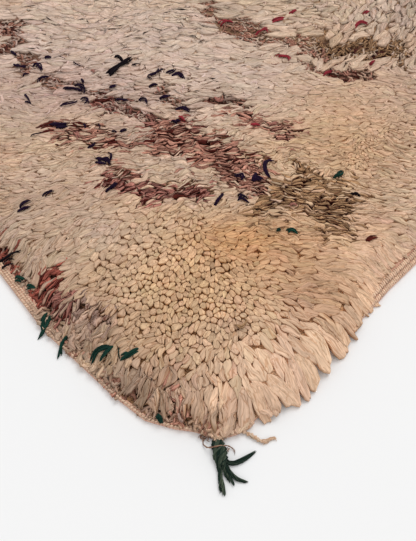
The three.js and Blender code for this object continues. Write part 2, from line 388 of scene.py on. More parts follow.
# %% [markdown]
# ## One lock, many times
#
# A lock is a tapering bundle of wool. Thousands of them could be grown as hair or scattered
# by Geometry Nodes. Here each kind of lock is modelled once, straight and a few dozen faces
# light, and numpy shapes its copies. Free locks are bent along their own middle lines, so
# they can lie, curl and drape over the runner's edge. Locks that are felted together are
# fitted to one another further down. Every lock stays a closed mesh.

# %% A straight lock
def straight_lock(sides, levels):
    """A closed tube of unit radius and length along +Z, with a ring at each level."""
    shape = bmesh.new()
    bmesh.ops.create_cone(
        shape, cap_ends=True, segments=sides, radius1=1, radius2=1, depth=1,
        matrix=Matrix.Translation((0, 0, 0.5)),
    )
    for level in levels[1:-1]:
        bmesh.ops.bisect_plane(
            shape, geom=shape.verts[:] + shape.edges[:] + shape.faces[:], dist=1e-6,
            plane_co=(0, 0, level), plane_no=(0, 0, 1),
        )
    top = [corner for corner in shape.verts if corner.co.z > 0.999]
    bmesh.ops.pointmerge(shape, verts=top, merge_co=(0, 0, 1))
    return shape


# %% Read a shape
def read_shape(shape, levels):
    """What is needed to repeat a small shape: its corners, faces, rings and flat map."""
    shape.verts.index_update()
    corners = np.array([corner.co for corner in shape.verts])
    turns = np.round(np.arctan2(corners[:, 1], corners[:, 0]), 5)
    turns = np.round((turns - turns[0]) % (2 * math.pi), 4) / (2 * math.pi)
    turns[turns > 0.9999] = 0
    on_axis = np.hypot(corners[:, 0], corners[:, 1]) < 1e-6
    loops, starts, flat_map = [], [], []
    for face in shape.faces:
        starts.append(len(loops))
        index = [corner.index for corner in face.verts]
        loops.extend(index)
        if all(corners[i, 2] < 1e-6 for i in index):  # the cap at the root
            flat_map.extend((0.5 + 0.03 * x, 0.035 + 0.03 * y) for x, y, _ in corners[index])
            continue
        around = np.array([turns[i] for i in index])
        outer = ~on_axis[index]
        if np.ptp(around[outer]) > 0.5:
            around[outer & (around < 0.5)] += 1
        around[~outer] = around[outer].mean()
        flat_map.extend((u, 0.08 + 0.92 * corners[i, 2]) for u, i in zip(around, index))
    rings = np.abs(corners[:, 2][:, None] - np.array(levels)[None, :]).argmin(axis=1)
    triangles = sum(len(face.verts) - 2 for face in shape.faces)
    shape.free()
    return {
        "corners": corners, "ring": rings, "levels": np.array(levels), "loops": np.array(loops),
        "starts": np.array(starts), "flat_map": np.array(flat_map), "triangles": triangles,
    }


def lock_kind(sides, levels):
    """A straight lock, ready to repeat."""
    kind = read_shape(straight_lock(sides, levels), levels)
    print("lock with", sides, "sides:", kind["triangles"], "triangles")
    return kind


tip_levels = [0, 0.75, 0.9, 0.98, 1]
plain_tip = lock_kind(7, [0, 0.75, 0.98, 1])
round_tip = lock_kind(9, tip_levels)
slim_tip = lock_kind(11, tip_levels)
long_tip = lock_kind(15, tip_levels)
long_lock = lock_kind(6, [0, 0.15, 0.3, 0.45, 0.6, 0.75, 0.87, 0.95, 1])
wavy_lock = lock_kind(5, [0, 0.15, 0.3, 0.45, 0.6, 0.75, 0.85, 0.95, 1])
slim_lock = lock_kind(4, [0, 0.2, 0.4, 0.6, 0.8, 0.95, 1])
curly_lock = lock_kind(4, [0, 0.15, 0.3, 0.45, 0.6, 0.75, 0.9, 1])


# %% Paint the corners
def paint_points(mesh, tint, fibre):
    """Stores the shade and the fibre place of every corner, for the wool materials."""
    shades = np.concatenate([np.clip(tint, 0, 1), np.ones((len(tint), 1))], axis=-1)
    for name, kind, part, values in (
        ("tint", "FLOAT_COLOR", "color", shades), ("fibre", "FLOAT_VECTOR", "vector", fibre),
    ):
        layer = mesh.attributes.new(name, kind, "POINT")
        layer.data.foreach_set(part, values.astype(np.float32).ravel())


# %% Join the copies
def join_copies(name, kind, points, tint, fibre, material):
    """Copies of one shape, already in place, as one closed mesh with its own bake map."""
    copies, corners = points.shape[:2]
    counter = np.arange(copies)[:, None]
    mesh = bpy.data.meshes.new(name)
    mesh.vertices.add(copies * corners)
    mesh.vertices.foreach_set("co", points.astype(np.float32).ravel())
    loops = (kind["loops"][None, :] + corners * counter).ravel()
    mesh.loops.add(loops.size)
    mesh.loops.foreach_set("vertex_index", loops.astype(np.int32))
    starts = (kind["starts"][None, :] + len(kind["loops"]) * counter).ravel()
    mesh.polygons.add(starts.size)
    mesh.polygons.foreach_set("loop_start", starts.astype(np.int32))
    mesh.polygons.foreach_set("use_smooth", np.ones(starts.size, dtype=bool))
    mesh.update(calc_edges=True)
    columns = math.ceil(math.sqrt(copies))
    cell = np.stack([counter[:, 0] % columns, counter[:, 0] // columns], axis=-1)
    inside = kind["flat_map"] * 0.9 + 0.05
    mapped = (cell[:, None, :] + inside[None, :, :]) / columns
    mesh.uv_layers.new(name="OFBake").data.foreach_set("uv", mapped.astype(np.float32).ravel())
    paint_points(mesh, tint.reshape(-1, 3), fibre.reshape(-1, 3))
    mesh.validate()
    mesh.materials.append(material)
    print(name + ":", copies, "copies,", copies * kind["triangles"], "triangles")
    return add_object(name, mesh)


# %% Walk along the locks
samples = 20  # steps along each lock
cloth_thick = 4.5 * MM
bare_height = 5.6 * MM  # where the block is lower than this, the cloth is bare
rim_height = 3.0 * MM  # and where the pile hangs over the end, only the rim is
hanging_height = 7.5 * MM  # over an edge higher than this the tufts hang unevenly
least_length = 8 * MM
least_height = 0.1 * MM  # nothing reaches lower, so nothing enters the floor
standing_from = math.radians(40)  # locks with a steeper tip than this count as standing
top_give, floor_give = 0.0015, 0.0008  # how softly a lock meets the pile's top and the floor


def overhung(x, y):
    """True along the part of the end where the pile hangs over the woven strip."""
    px, py = pixels(x, y)
    return (px > 46) & (px < 260) & (py > 300)


def walk(lock):
    """Steps along every lock at once: up from the root, over, and along the pile."""
    share = np.linspace(0, 1, samples + 1)[None, :]
    column = {name: value[:, None] for name, value in lock.items() if value.ndim == 1}
    ease = smoothstep(np.clip(share / column["turn_over"], 0, 1))
    rise = column["rise"] + (column["fall"] - column["rise"]) * ease
    swing = np.sin(2 * math.pi * column["waves"] * share + column["phase"])
    swing = swing - np.sin(column["phase"])
    heading = column["heading"] + column["curl"] * share ** 1.5 + column["wave"] * swing
    stride = column["length"] / samples
    flat = np.cos(rise) * stride
    x = column["x"] + np.cumsum(flat * np.cos(heading), axis=1)
    y = column["y"] + np.cumsum(flat * np.sin(heading), axis=1)
    z = column["z"] + np.cumsum(np.sin(rise) * stride, axis=1)
    return x, y, z, heading


# %% Keep the locks within the pile
def trim_to_edge(lock):
    """Shortens the locks that would lie over the bare edge of the cloth."""
    limit = np.where(overhung(lock["x"], lock["y"]), rim_height, bare_height)[:, None]
    for _ in range(2):
        x, y, _, _ = walk(lock)
        over = look_up(measured, x, y) < limit
        crossing = over.any(axis=1)
        share = over.argmax(axis=1) / samples
        lock["length"] = np.where(crossing, lock["length"] * share, lock["length"])
    end = np.clip(over.argmax(axis=1) - 1, 0, samples)
    before = look_up(measured, *(np.take_along_axis(v, end[:, None], 1)[:, 0] for v in (x, y)))
    hanging = before > hanging_height
    spare = np.where(hanging, random.normal(0.5, 3.5, len(end)), random.exponential(2.2, len(end)))
    spare = np.where(overhung(lock["x"], lock["y"]), random.uniform(-1.5, 0.5, len(end)), spare)
    spare = np.clip(spare, -6, 7) * crossing * MM
    lock["length"] = np.maximum(lock["length"] + spare, least_length)


def stop_at_top(lock):
    """Shortens the standing locks so that they end at the pile's top."""
    x, y, z, _ = walk(lock)
    top = look_up(softened, x[:, -1], y[:, -1]) + lock["layer"]
    climb = np.maximum(z[:, -1] - lock["z"], 1 * MM)
    share = np.clip((top - lock["z"]) / climb, 0.2, 1)
    standing = lock["fall"] > standing_from
    lock["length"] = np.where(standing, lock["length"] * share, lock["length"])


def middle_lines(lock):
    """The walk of each lock, kept under the pile's top, with its sideways directions."""
    x, y, z, heading = walk(lock)
    share = np.linspace(0, 1, samples + 1)[None, :]
    thick = lock["thick"][:, None]
    dip = 0.7 * MM * np.sin(2 * math.pi * share * 1.3 + 2 * lock["phase"][:, None])
    lying = np.cos(lock["fall"][:, None]) ** 2
    sunk = lock["sink"][:, None] * (1 - share) * lying  # the tips lie on the next locks' roots
    height = look_up(softened, x, y)
    on_cloth = look_up(measured, x, y) > 1 * MM
    height = np.where(on_cloth, np.maximum(height, cloth_thick + 0.8 * thick), height)
    top = height + lock["layer"][:, None] + dip - sunk - thick / 2 * lying
    z = -top_give * np.logaddexp(-z / top_give, -top / top_give)
    ground = thick * 0.55 + 0.6 * MM
    z = floor_give * np.logaddexp(z / floor_give, ground / floor_give)
    centre = np.stack([x, y, z], axis=-1)
    ahead = np.gradient(centre, axis=1)
    ahead /= np.linalg.norm(ahead, axis=-1, keepdims=True) + 1e-12
    side = np.stack([-np.sin(heading), np.cos(heading), np.zeros_like(heading)], axis=-1)
    side -= ahead * np.sum(side * ahead, axis=-1, keepdims=True)
    side /= np.linalg.norm(side, axis=-1, keepdims=True)
    return centre, side, np.cross(ahead, side)


# %% Give the locks their girth
def at_levels(lines, levels):
    """Points or directions of the middle lines at a kind's levels, blended between steps."""
    place = levels * samples
    before = np.minimum(place.astype(int), samples - 1)
    share = (place - before)[None, :, None]
    return blend(lines[:, before], lines[:, before + 1], share)


def bent_copies(kind, lock):
    """Corners of bent copies of a straight lock, with a rounded or a pointed tip."""
    centre, side, up = (at_levels(lines, kind["levels"]) for lines in middle_lines(lock))
    level = kind["levels"][None, :]
    point = lock["point"][:, None]
    end = lock["wide"] * (0.5 + 1.6 * lock["point"])
    end = np.clip(end / lock["length"], 0.12, 0.85)[:, None]
    over = np.clip((level - 1 + end) / end, 0, 1)
    power = 2.3 - 1.0 * point  # 2 would make the tip half a circle, and 1 a cone
    radius = (1 - over ** power) ** (1 / power) * (0.80 + 0.25 * level)
    radius = radius * (1 + 0.15 * random.uniform(-1, 1, radius.shape))
    ring, corners = kind["ring"], kind["corners"]
    girth = radius[:, ring] * (1 + 0.12 * random.uniform(-1, 1, (len(radius), len(corners))))
    across, deep = lock["wide"][:, None] / 2, lock["thick"][:, None] / 2
    out = side[:, ring] * (corners[:, 0] * girth * across)[..., None]
    out += up[:, ring] * (corners[:, 1] * girth * deep)[..., None]
    points = centre[:, ring] + out
    points[..., 2] = np.maximum(points[..., 2], least_height)
    return points


# %% Shade the locks
def fibre_places(kind, wide, length):
    """Millimetres across and along each lock, shifted so that no two locks match."""
    corners = kind["corners"][None]
    wide, length = wide[:, None] / MM / 2, length[:, None] / MM
    shift = random.uniform(0, 900, (len(wide), 1))
    return np.stack([corners[..., 0] * wide + shift, corners[..., 1] * wide,
                     corners[..., 2] * length + shift * 3], axis=-1)


def lock_tints(kind, lock):
    """The colour of each lock, with painted shade at its root and along its underside."""
    standing = np.sin(lock["fall"])[:, None]
    reach = 0.35 + 0.50 * standing
    rooted = np.clip(1 - kind["corners"][None, :, 2] / reach, 0, 1)
    # painted shade on the underside, where a lying lock meets the next one
    under = np.clip((0.62 - kind["corners"][None, :, 1]) / 1.1, 0, 1)
    under = smoothstep(under) * (1 - standing)
    amount = np.maximum(rooted, under)[..., None]
    return blend(lock["shade"][:, None, :], lock["deep"][:, None, :], amount)


# %% Declare and grow
pile_pieces = []  # everything that is knotted into the ground cloth or tied to it


def declare(piece):
    """Lets a piece ride on the runner."""
    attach(piece, "root")
    return piece


def grow(name, kind, lock, material):
    """Bends, joins and declares free locks of one kind."""
    piece = join_copies(name, kind, bent_copies(kind, lock), lock_tints(kind, lock),
                        fibre_places(kind, lock["wide"], lock["length"]), material)
    pile_pieces.append(declare(piece))


# %% [markdown]
# ## The woven ground
#
# Under the pile is a plain weave of wool, about 4.5 mm thick. It only shows as a narrow
# strip along the ends and as a bound cord down each side, the selvedge. The cloth is cut
# from the CAD block's own underside, so it has the same uneven outline, and is extruded
# to its thickness. The yarns that show along its edge are modelled one turn at a time.

# %% Cut the cloth
cloth_half = 0.452  # locks, not cloth, fill the block where it reaches further out


def block_copy():
    """The CAD block as a bmesh with its corners joined."""
    copy = bmesh.new()
    copy.from_mesh(block.data)
    bmesh.ops.remove_doubles(copy, verts=copy.verts[:], dist=1e-6)
    return copy


cloth = block_copy()
upper = [face for face in cloth.faces if face.calc_center_median().z > 1e-5]
bmesh.ops.delete(cloth, geom=upper, context="FACES")
bmesh.ops.dissolve_faces(cloth, faces=cloth.faces[:])
for corner in cloth.verts:
    corner.co.x = max(-cloth_half, min(cloth_half, corner.co.x))
    corner.co.z = 0
outline = [corner.co.copy() for corner in cloth.faces[:][0].verts]
bmesh.ops.recalc_face_normals(cloth, faces=cloth.faces[:])
if cloth.faces[:][0].normal.z < 0:
    bmesh.ops.reverse_faces(cloth, faces=cloth.faces[:])
lifted = bmesh.ops.extrude_face_region(cloth, geom=cloth.faces[:], use_keep_orig=True)["geom"]
bmesh.ops.translate(
    cloth, verts=[part for part in lifted if isinstance(part, bmesh.types.BMVert)],
    vec=(0, 0, cloth_thick),
)
bmesh.ops.recalc_face_normals(cloth, faces=cloth.faces[:])
rim = [edge for edge in cloth.edges if all(end.co.z > cloth_thick / 2 for end in edge.verts)]
bmesh.ops.bevel(
    cloth, geom=rim, offset=1.4 * MM, offset_type="OFFSET", affect="EDGES", segments=2,
    profile=0.5, material=-1,
)
print("cloth outline:", len(outline), "corners")


# %% A woven surface
def weave_material(name, shade, deep):
    """Plain weave, one yarn about every 3 mm each way, as fine as the picture can show."""
    material, tree = new_material(name)
    place = add_node(tree, "ShaderNodeTexCoord")
    yarns = [
        add_node(
            tree, "ShaderNodeTexWave", {"bands_direction": direction},
            inputs={"Scale": 2 * math.pi / 20 / (3.0 * MM), "Distortion": 1.2, "Detail": 2.0},
            links={"Vector": place.outputs["Object"]},
        )
        for direction in ("X", "Y")
    ]
    woven = add_sum(tree, "MAXIMUM", *(yarn.outputs["Fac"] for yarn in yarns))
    fuzz = add_noise(tree, place, 420.0, 3.0)  # loose fibres, about 2.4 mm apart
    height = add_sum(tree, "MULTIPLY", woven, fuzz.outputs["Fac"])
    # the low parts of the weave take the darker colour: painted shade in its hollows
    colour = add_node(
        tree, "ShaderNodeMix", {"data_type": "RGBA"},
        inputs={6: (*deep, 1), 7: (*shade, 1)}, links={0: height},
    )
    add_surface(tree, colour.outputs[2], height,
                {"Roughness": 0.92, "Specular IOR Level": 0.15, "Sheen Weight": 0.15}, 0.7, 0.8)
    return material


# %% Make a piece of a shape
def made_from(name, shape, material):
    """Turns a bmesh into an object of one material."""
    mesh = bpy.data.meshes.new(name)
    shape.to_mesh(mesh)
    shape.free()
    mesh.materials.append(material)
    return add_object(name, mesh)


ground_wool = weave_material("woven_wool_ground", wool["pink"], wool["brown"])
ground_cloth = declare(made_from("ground_cloth", cloth, ground_wool))
print("ground cloth made")

# %% [markdown]
# ## Selvedges and end strips
#
# Down each long side the weft turns back round two cords, so the edge looks like two ropes
# with a turn every 3 mm. Across each end the last rows of weft show as lines of small
# grains. Each turn is one small rounded bead, flattened and set along the cloth's edge.

# %% One turn of yarn
def bead_kind(subdivisions):
    """A small rounded bead, ready to repeat."""
    shape = bmesh.new()
    bmesh.ops.create_icosphere(shape, subdivisions=subdivisions, radius=1)
    shape.verts.index_update()
    corners = np.array([corner.co for corner in shape.verts])
    loops, starts, flat_map = [], [], []
    for count, face in enumerate(shape.faces):
        starts.append(len(loops))
        loops.extend(corner.index for corner in face.verts)
        flat_map.extend((corners[corner.index][0] * 0.24 + (0.25 if face.normal.z > 0 else 0.75),
                         corners[corner.index][1] * 0.48 + 0.5) for corner in face.verts)
    triangles = len(shape.faces)
    shape.free()
    return {"corners": corners, "loops": np.array(loops), "starts": np.array(starts),
            "flat_map": np.array(flat_map), "triangles": triangles}


fine_bead = bead_kind(2)
plain_bead = bead_kind(1)


# %% Walk along the edge
def travelled(line):
    """How far each place of a level line is from its start, measured along the line."""
    return np.concatenate([[0], np.cumsum(np.hypot(*np.diff(line, axis=0).T))])


def read_along(at, distances, line):
    """The columns of a line's table at other distances along it."""
    return np.stack([np.interp(at, distances, column) for column in line.T], axis=-1)


def edge_walk(spacing, inset):
    """Places and headings at even spacing round the cloth, a little way in from its edge."""
    ring = np.array([[corner.x, corner.y] for corner in outline])
    area = np.sum(ring[:, 0] * np.roll(ring[:, 1], -1) - np.roll(ring[:, 0], -1) * ring[:, 1])
    if area < 0:
        ring = ring[::-1]
    closed = np.vstack([ring, ring[:1]])
    distances = travelled(closed)
    x, y = read_along(np.arange(0, distances[-1], spacing), distances, closed).T
    window = max(1, round(0.012 / spacing))  # headings are measured over 12 mm each way
    ahead = np.stack([np.roll(x, -window) - np.roll(x, window),
                      np.roll(y, -window) - np.roll(y, window)], axis=-1)
    ahead /= np.linalg.norm(ahead, axis=-1, keepdims=True)
    x = x - ahead[:, 1] * inset
    y = y + ahead[:, 0] * inset
    return x, y, ahead


# %% Set beads along the edge
def set_beads(name, kind, x, y, z, ahead, size, shade):
    """Beads of a size given along the edge, across it and upwards."""
    copies = len(x)
    along = np.concatenate([ahead, np.zeros((copies, 1))], axis=-1)
    across = np.stack([-ahead[:, 1], ahead[:, 0], np.zeros(copies)], axis=-1)
    corners = kind["corners"]
    scale = size * random.uniform(0.88, 1.12, (copies, 3)) / 2
    slant = random.normal(0.35, 0.12, copies)[:, None, None]
    u = corners[None, :, 0, None] * scale[:, None, None, 0]
    v = corners[None, :, 1, None] * scale[:, None, None, 1]
    w = corners[None, :, 2, None] * scale[:, None, None, 2]
    place = np.stack([x, y, z], axis=-1)[:, None, :]
    points = place + along[:, None, :] * (u + v * slant) + across[:, None, :] * v
    points = points + np.array([0, 0, 1]) * w
    # each bead is darker towards its underside, as painted shade; the random part is the yarn's own
    # unevenness
    light = random.uniform(0.82, 1.1, (copies, 1, 1)) * (0.66 + 0.34 * corners[None, :, 2, None])
    tint = shade[:, None, :] * light
    shift = random.uniform(0, 900, (copies, 1, 1))
    fibre = corners[None] * scale[:, None, :] / MM + shift
    fibre = fibre[..., [0, 2, 1]]
    piece = join_copies(name, kind, points, tint, fibre, yarn_wool)
    pile_pieces.append(declare(piece))


def in_view(x, y, margin=30):
    """True for places that the photograph shows, with a margin in pixels."""
    px, py = pixels(x, y)
    inside = (px > -margin) & (px < picture_wide + margin)
    return inside & (py > -margin) & (py < picture_high + margin)


# %% Selvedge cords
bead_margin = 25  # pixels round the picture within which the beads are fine and close
long_edge, side_from = 1.17, 0.42  # the cords stop a little short of the rounded corners
nearness = (("near", True, fine_bead), ("far", False, plain_bead))
# Name, distance of its middle from the edge, width, middle and height above the floor, in mm.
cords = [("outer", 2.9, 5.4, 4.3, 4.2), ("inner", 9.2, 7.2, 5.2, 4.0)]
for cord_name, inset, cross, middle, high in cords:
    for where, seen, bead in nearness:
        spacing = 3.0 if seen else 6.0
        x, y, ahead = edge_walk(spacing * MM, inset * MM)
        keep = (np.abs(y) < long_edge) & (in_view(x, y, bead_margin) == seen)
        keep = keep & (np.abs(x) > side_from)
        x, y, ahead = x[keep], y[keep], ahead[keep]
        shade = np.tile(wool["pink"] * 1.24, (len(x), 1))
        shade = shade * (1 + 0.12 * drift(x, y, 0.05, 21))[:, None]
        size = np.array([spacing * 1.12, cross * 1.1, high]) * MM
        set_beads(f"selvedge_{cord_name}_{where}", bead, x, y, np.full(len(x), middle * MM),
                  ahead, size, shade)

# %% End strips
strip_rows = [1.7, 4.9, 8.1]  # how far in from the end each line of grains runs, in mm
end_from, end_half = 1.13, 0.447  # where the lines start and stop
for where, seen, bead in nearness:
    spacing = 3.9 if seen else 6.0
    rows = []
    for inset in strip_rows:
        x, y, ahead = edge_walk(spacing * MM, inset * MM)
        keep = (np.abs(y) > end_from) & (in_view(x, y, bead_margin) == seen)
        keep = keep & (np.abs(x) < end_half)
        keep = keep & (~overhung(x, y) | (inset < 2))  # the pile hangs over the other rows
        rows.append((x[keep], y[keep], ahead[keep]))
    x, y, ahead = (np.concatenate(column) for column in zip(*rows))
    shade = np.tile(wool["pink"] * 0.98, (len(x), 1))
    shade = shade * (1 + 0.15 * drift(x, y, 0.04, 22))[:, None]
    set_beads(f"end_strip_{where}", bead, x, y, np.full(len(x), 4.3 * MM), ahead,
              np.array([spacing * 1.1, 3.4, 3.4]) * MM, shade)

# %% [markdown]
# ## How the pile lies
#
# A pile this long is never upright all over. Feet and hands comb it, so the locks lie in
# smooth streams, stand up on end where two streams part, and hang outwards over the edges.
# The table gives the lie at a few places in the picture, and the locks between them blend
# their neighbours. Away from the picture the streams wander by drift.

# %% The comb
# Pixel, the way the tips point (degrees clockwise from the picture's right), lean from 0
# for upright to 1 for flat, length and width in mm, waviness, and how pointed the tips are.
combed = [
    (20, 230, 155, 0.92, 32, 4.8, 0.45, 0.6), (60, 200, 165, 0.90, 30, 4.8, 0.45, 0.6),
    (20, 150, 174, 0.94, 34, 4.6, 0.40, 0.7), (20, 185, 170, 0.95, 34, 4.6, 0.40, 0.7),
    (100, 130, 172, 0.90, 28, 4.8, 0.55, 0.6), (100, 160, 168, 0.88, 26, 5.0, 0.60, 0.6),
    (30, 250, 142, 0.90, 28, 5.2, 0.60, 0.6), (60, 265, 140, 0.85, 28, 5.5, 0.50, 0.5),
    (110, 190, 160, 0.75, 24, 6.5, 0.50, 0.3), (85, 245, 140, 0.50, 26, 11.0, 0.30, 0.2),
    (112, 235, 135, 0.45, 24, 13.5, 0.25, 0.1), (150, 225, 140, 0.34, 20, 11.0, 0.25, 0.0),
    (150, 270, 125, 0.26, 18, 11.0, 0.20, 0.0), (200, 275, 100, 0.20, 17, 11.0, 0.20, 0.0),
    (175, 305, 115, 0.20, 17, 11.2, 0.20, 0.0), (215, 310, 90, 0.15, 17, 11.0, 0.20, 0.0),
    (105, 285, 135, 0.24, 18, 11.2, 0.20, 0.0), (130, 320, 130, 0.22, 18, 11.4, 0.20, 0.0),
    (85, 285, 140, 0.55, 26, 8.8, 0.40, 0.2), (105, 335, 135, 0.70, 26, 6.0, 0.50, 0.3),
    (150, 345, 122, 0.30, 22, 11.2, 0.30, 0.1), (60, 310, 138, 0.90, 30, 4.6, 0.70, 0.6),
    (60, 335, 132, 0.90, 30, 4.6, 0.70, 0.7), (100, 365, 122, 0.88, 28, 4.6, 1.10, 0.6),
    (145, 372, 110, 0.80, 26, 5.0, 1.10, 0.5), (150, 395, 104, 0.90, 28, 4.8, 1.10, 0.6),
    (180, 410, 95, 0.90, 28, 5.0, 1.10, 0.6), (190, 350, 95, 0.30, 20, 11.0, 0.30, 0.0),
    (215, 425, 85, 0.90, 30, 6.0, 0.60, 0.7), (218, 392, 92, 0.80, 28, 5.4, 0.70, 0.5),
    (230, 360, 80, 0.45, 24, 8.2, 0.45, 0.1), (255, 400, 68, 0.90, 46, 13.5, 0.15, 0.5),
    (270, 385, 58, 0.90, 50, 14.5, 0.15, 0.5), (290, 375, 48, 0.92, 50, 14.5, 0.15, 0.5),
    (250, 425, 75, 0.92, 34, 10.5, 0.30, 0.5), (310, 355, 38, 0.92, 48, 13.5, 0.15, 0.5),
    (335, 335, 30, 0.92, 46, 12.0, 0.15, 0.5), (355, 305, 24, 0.94, 36, 10.0, 0.15, 0.5),
    (300, 305, 16, 0.80, 28, 6.5, 0.35, 0.3), (310, 325, 28, 0.85, 34, 8.0, 0.30, 0.5),
    (260, 320, 50, 0.30, 18, 9.4, 0.30, 0.0), (262, 275, 8, 0.40, 22, 10.4, 0.30, 0.1),
    (275, 350, 50, 0.78, 32, 8.8, 0.35, 0.5), (350, 270, 12, 0.92, 38, 6.0, 0.15, 0.6),
    (325, 285, 12, 0.88, 30, 6.2, 0.35, 0.5), (385, 245, 8, 0.97, 44, 5.5, 0.02, 0.7),
    (400, 215, 4, 0.95, 38, 5.5, 0.10, 0.7), (300, 245, 4, 0.85, 28, 5.8, 0.45, 0.5),
    (235, 240, 2, 0.50, 22, 9.4, 0.40, 0.1), (300, 200, 10, 0.88, 26, 4.8, 0.80, 0.5),
    (350, 230, 16, 0.90, 28, 5.2, 0.60, 0.6), (390, 170, 12, 0.80, 24, 5.0, 0.70, 0.5),
    (230, 208, 352, 0.75, 24, 6.5, 0.50, 0.3), (170, 190, 170, 0.85, 26, 4.6, 0.80, 0.5),
    (160, 150, 172, 0.85, 26, 4.8, 0.70, 0.5), (330, 150, 176, 0.80, 24, 5.0, 0.70, 0.5),
    (380, 100, 178, 0.80, 26, 5.0, 0.70, 0.5), (400, 20, 305, 0.92, 26, 4.6, 0.60, 0.7),
    (360, 50, 330, 0.85, 26, 4.6, 0.60, 0.6), (300, 110, 178, 0.88, 28, 4.8, 0.60, 0.6),
    (230, 130, 168, 0.85, 28, 4.8, 0.60, 0.5), (200, 95, 178, 0.92, 30, 4.8, 0.60, 0.7),
    (120, 90, 176, 0.94, 30, 4.6, 0.55, 0.7), (50, 65, 174, 0.94, 30, 4.6, 0.55, 0.7),
    (50, 20, 185, 0.90, 26, 4.8, 0.80, 0.5), (130, 30, 172, 0.90, 26, 4.8, 0.90, 0.4),
    (210, 30, 184, 0.90, 26, 4.8, 0.80, 0.5), (290, 30, 172, 0.92, 28, 4.8, 0.60, 0.6),
]


# %% Read the comb
def comb_rows():
    """The comb table in metres on the runner, with each direction turned to the ground."""
    rows = []
    lying_height = 0.022  # of the locks' upper sides
    short_way = 8  # pixels from a row's place to a second one, which gives the heading
    for px, py, toward, *rest in combed:
        here = spot(px, py, lying_height)
        angle = math.radians(toward)
        there = spot(px + short_way * math.cos(angle), py + short_way * math.sin(angle),
                     lying_height)
        heading = (there - here).normalized()
        rows.append([here.x, here.y, heading.x, heading.y, *rest])
    return np.array(rows)


comb = comb_rows()
# The columns of the lie: the heading's x and y come first.
lean_at, length_at, width_at, wave_at, point_at = 2, 3, 4, 5, 6
# How far one row of the table is felt, in metres: less where the rows are close together.
comb_reach = np.array([0.023 if row[1] > 200 else 0.034 for row in combed])


def lie_of_pile(x, y):
    """Heading, lean, length, width, waviness and point of the pile at many places."""
    near = np.hypot(x[:, None] - comb[None, :, 0], y[:, None] - comb[None, :, 1])
    weight = np.exp(-0.5 * (near / comb_reach[None, :]) ** 2)
    stream = 2 * math.pi * drift(x, y, 0.55, 31) + 0.8 * drift(x, y, 0.16, 32)
    lean = 0.72 + 0.22 * drift(x, y, 0.22, 33)
    usual = np.stack([
        np.cos(stream), np.sin(stream), lean, 27 + 8 * lean, np.full_like(x, 8.0),
        np.full_like(x, 0.35), np.full_like(x, 0.5),
    ], axis=-1)
    steep_x, steep_y = look_up(slope_x, x, y), look_up(slope_y, x, y)
    steep = np.hypot(steep_x, steep_y)
    edge = np.clip(steep / 0.12, 0, 1)[:, None]
    outward = np.stack([-steep_x / (steep + 1e-9), -steep_y / (steep + 1e-9)], axis=-1)
    usual[:, :2] = blend(usual[:, :2], 1.6 * outward, edge)
    usual[:, 2:3] += (0.86 - usual[:, 2:3]) * edge
    spare = 0.01  # weight of the usual lie, which only counts far from the table's rows
    return (weight @ comb[:, 2:] + spare * usual) / (weight.sum(axis=1) + spare)[:, None]


print("comb rows:", len(comb))

# %% [markdown]
# ## How the colour wanders
#
# Undyed fleece is never one colour. Soft washes of cream, straw, honey and pinkish grey
# lie over one another, each centred somewhere in the picture and fading outwards. Brown
# bands cross the runner: there single brown locks stand among the cream ones, more of them
# towards the middle of the band, so each lock is brown or cream by chance.

# %% Washes and bands
# Pixel of the middle, half size across and down in pixels, shade and strength.
washes = [
    (110, 40, 200, 70, "cream", 0.8), (80, 110, 100, 55, "plum", 0.35),
    (60, 190, 90, 80, "pink", 0.35),
    (60, 250, 60, 60, "mauve", 0.25), (190, 285, 110, 75, "yellow", 0.95),
    (240, 240, 50, 22, "honey", 0.85), (330, 255, 90, 55, "honey", 0.50),
    (110, 235, 40, 25, "cream", 0.40), (190, 395, 80, 50, "mauve", 0.50),
    (250, 335, 50, 40, "yellow", 0.5), (290, 395, 90, 60, "pink", 0.90),
    (340, 320, 70, 60, "pink", 0.45), (350, 150, 100, 60, "yellow", 0.75),
    (300, 270, 60, 40, "honey", 0.30), (250, 85, 70, 35, "cream", 0.8),
    (345, 335, 60, 50, "pink", 0.8),
    (70, 140, 60, 25, "straw", 0.6), (390, 110, 60, 60, "cream", 0.30),
    (100, 320, 30, 20, "mauve", 0.60), (60, 320, 50, 30, "mauve", 0.50),
    (110, 385, 50, 30, "mauve", 0.60), (30, 290, 30, 20, "mauve", 0.40),
    (360, 120, 90, 60, "honey", 0.30), (395, 250, 50, 40, "pink", 0.70),
    (330, 300, 35, 25, "honey", 0.35), (238, 328, 14, 10, "mauve", 0.5),
]
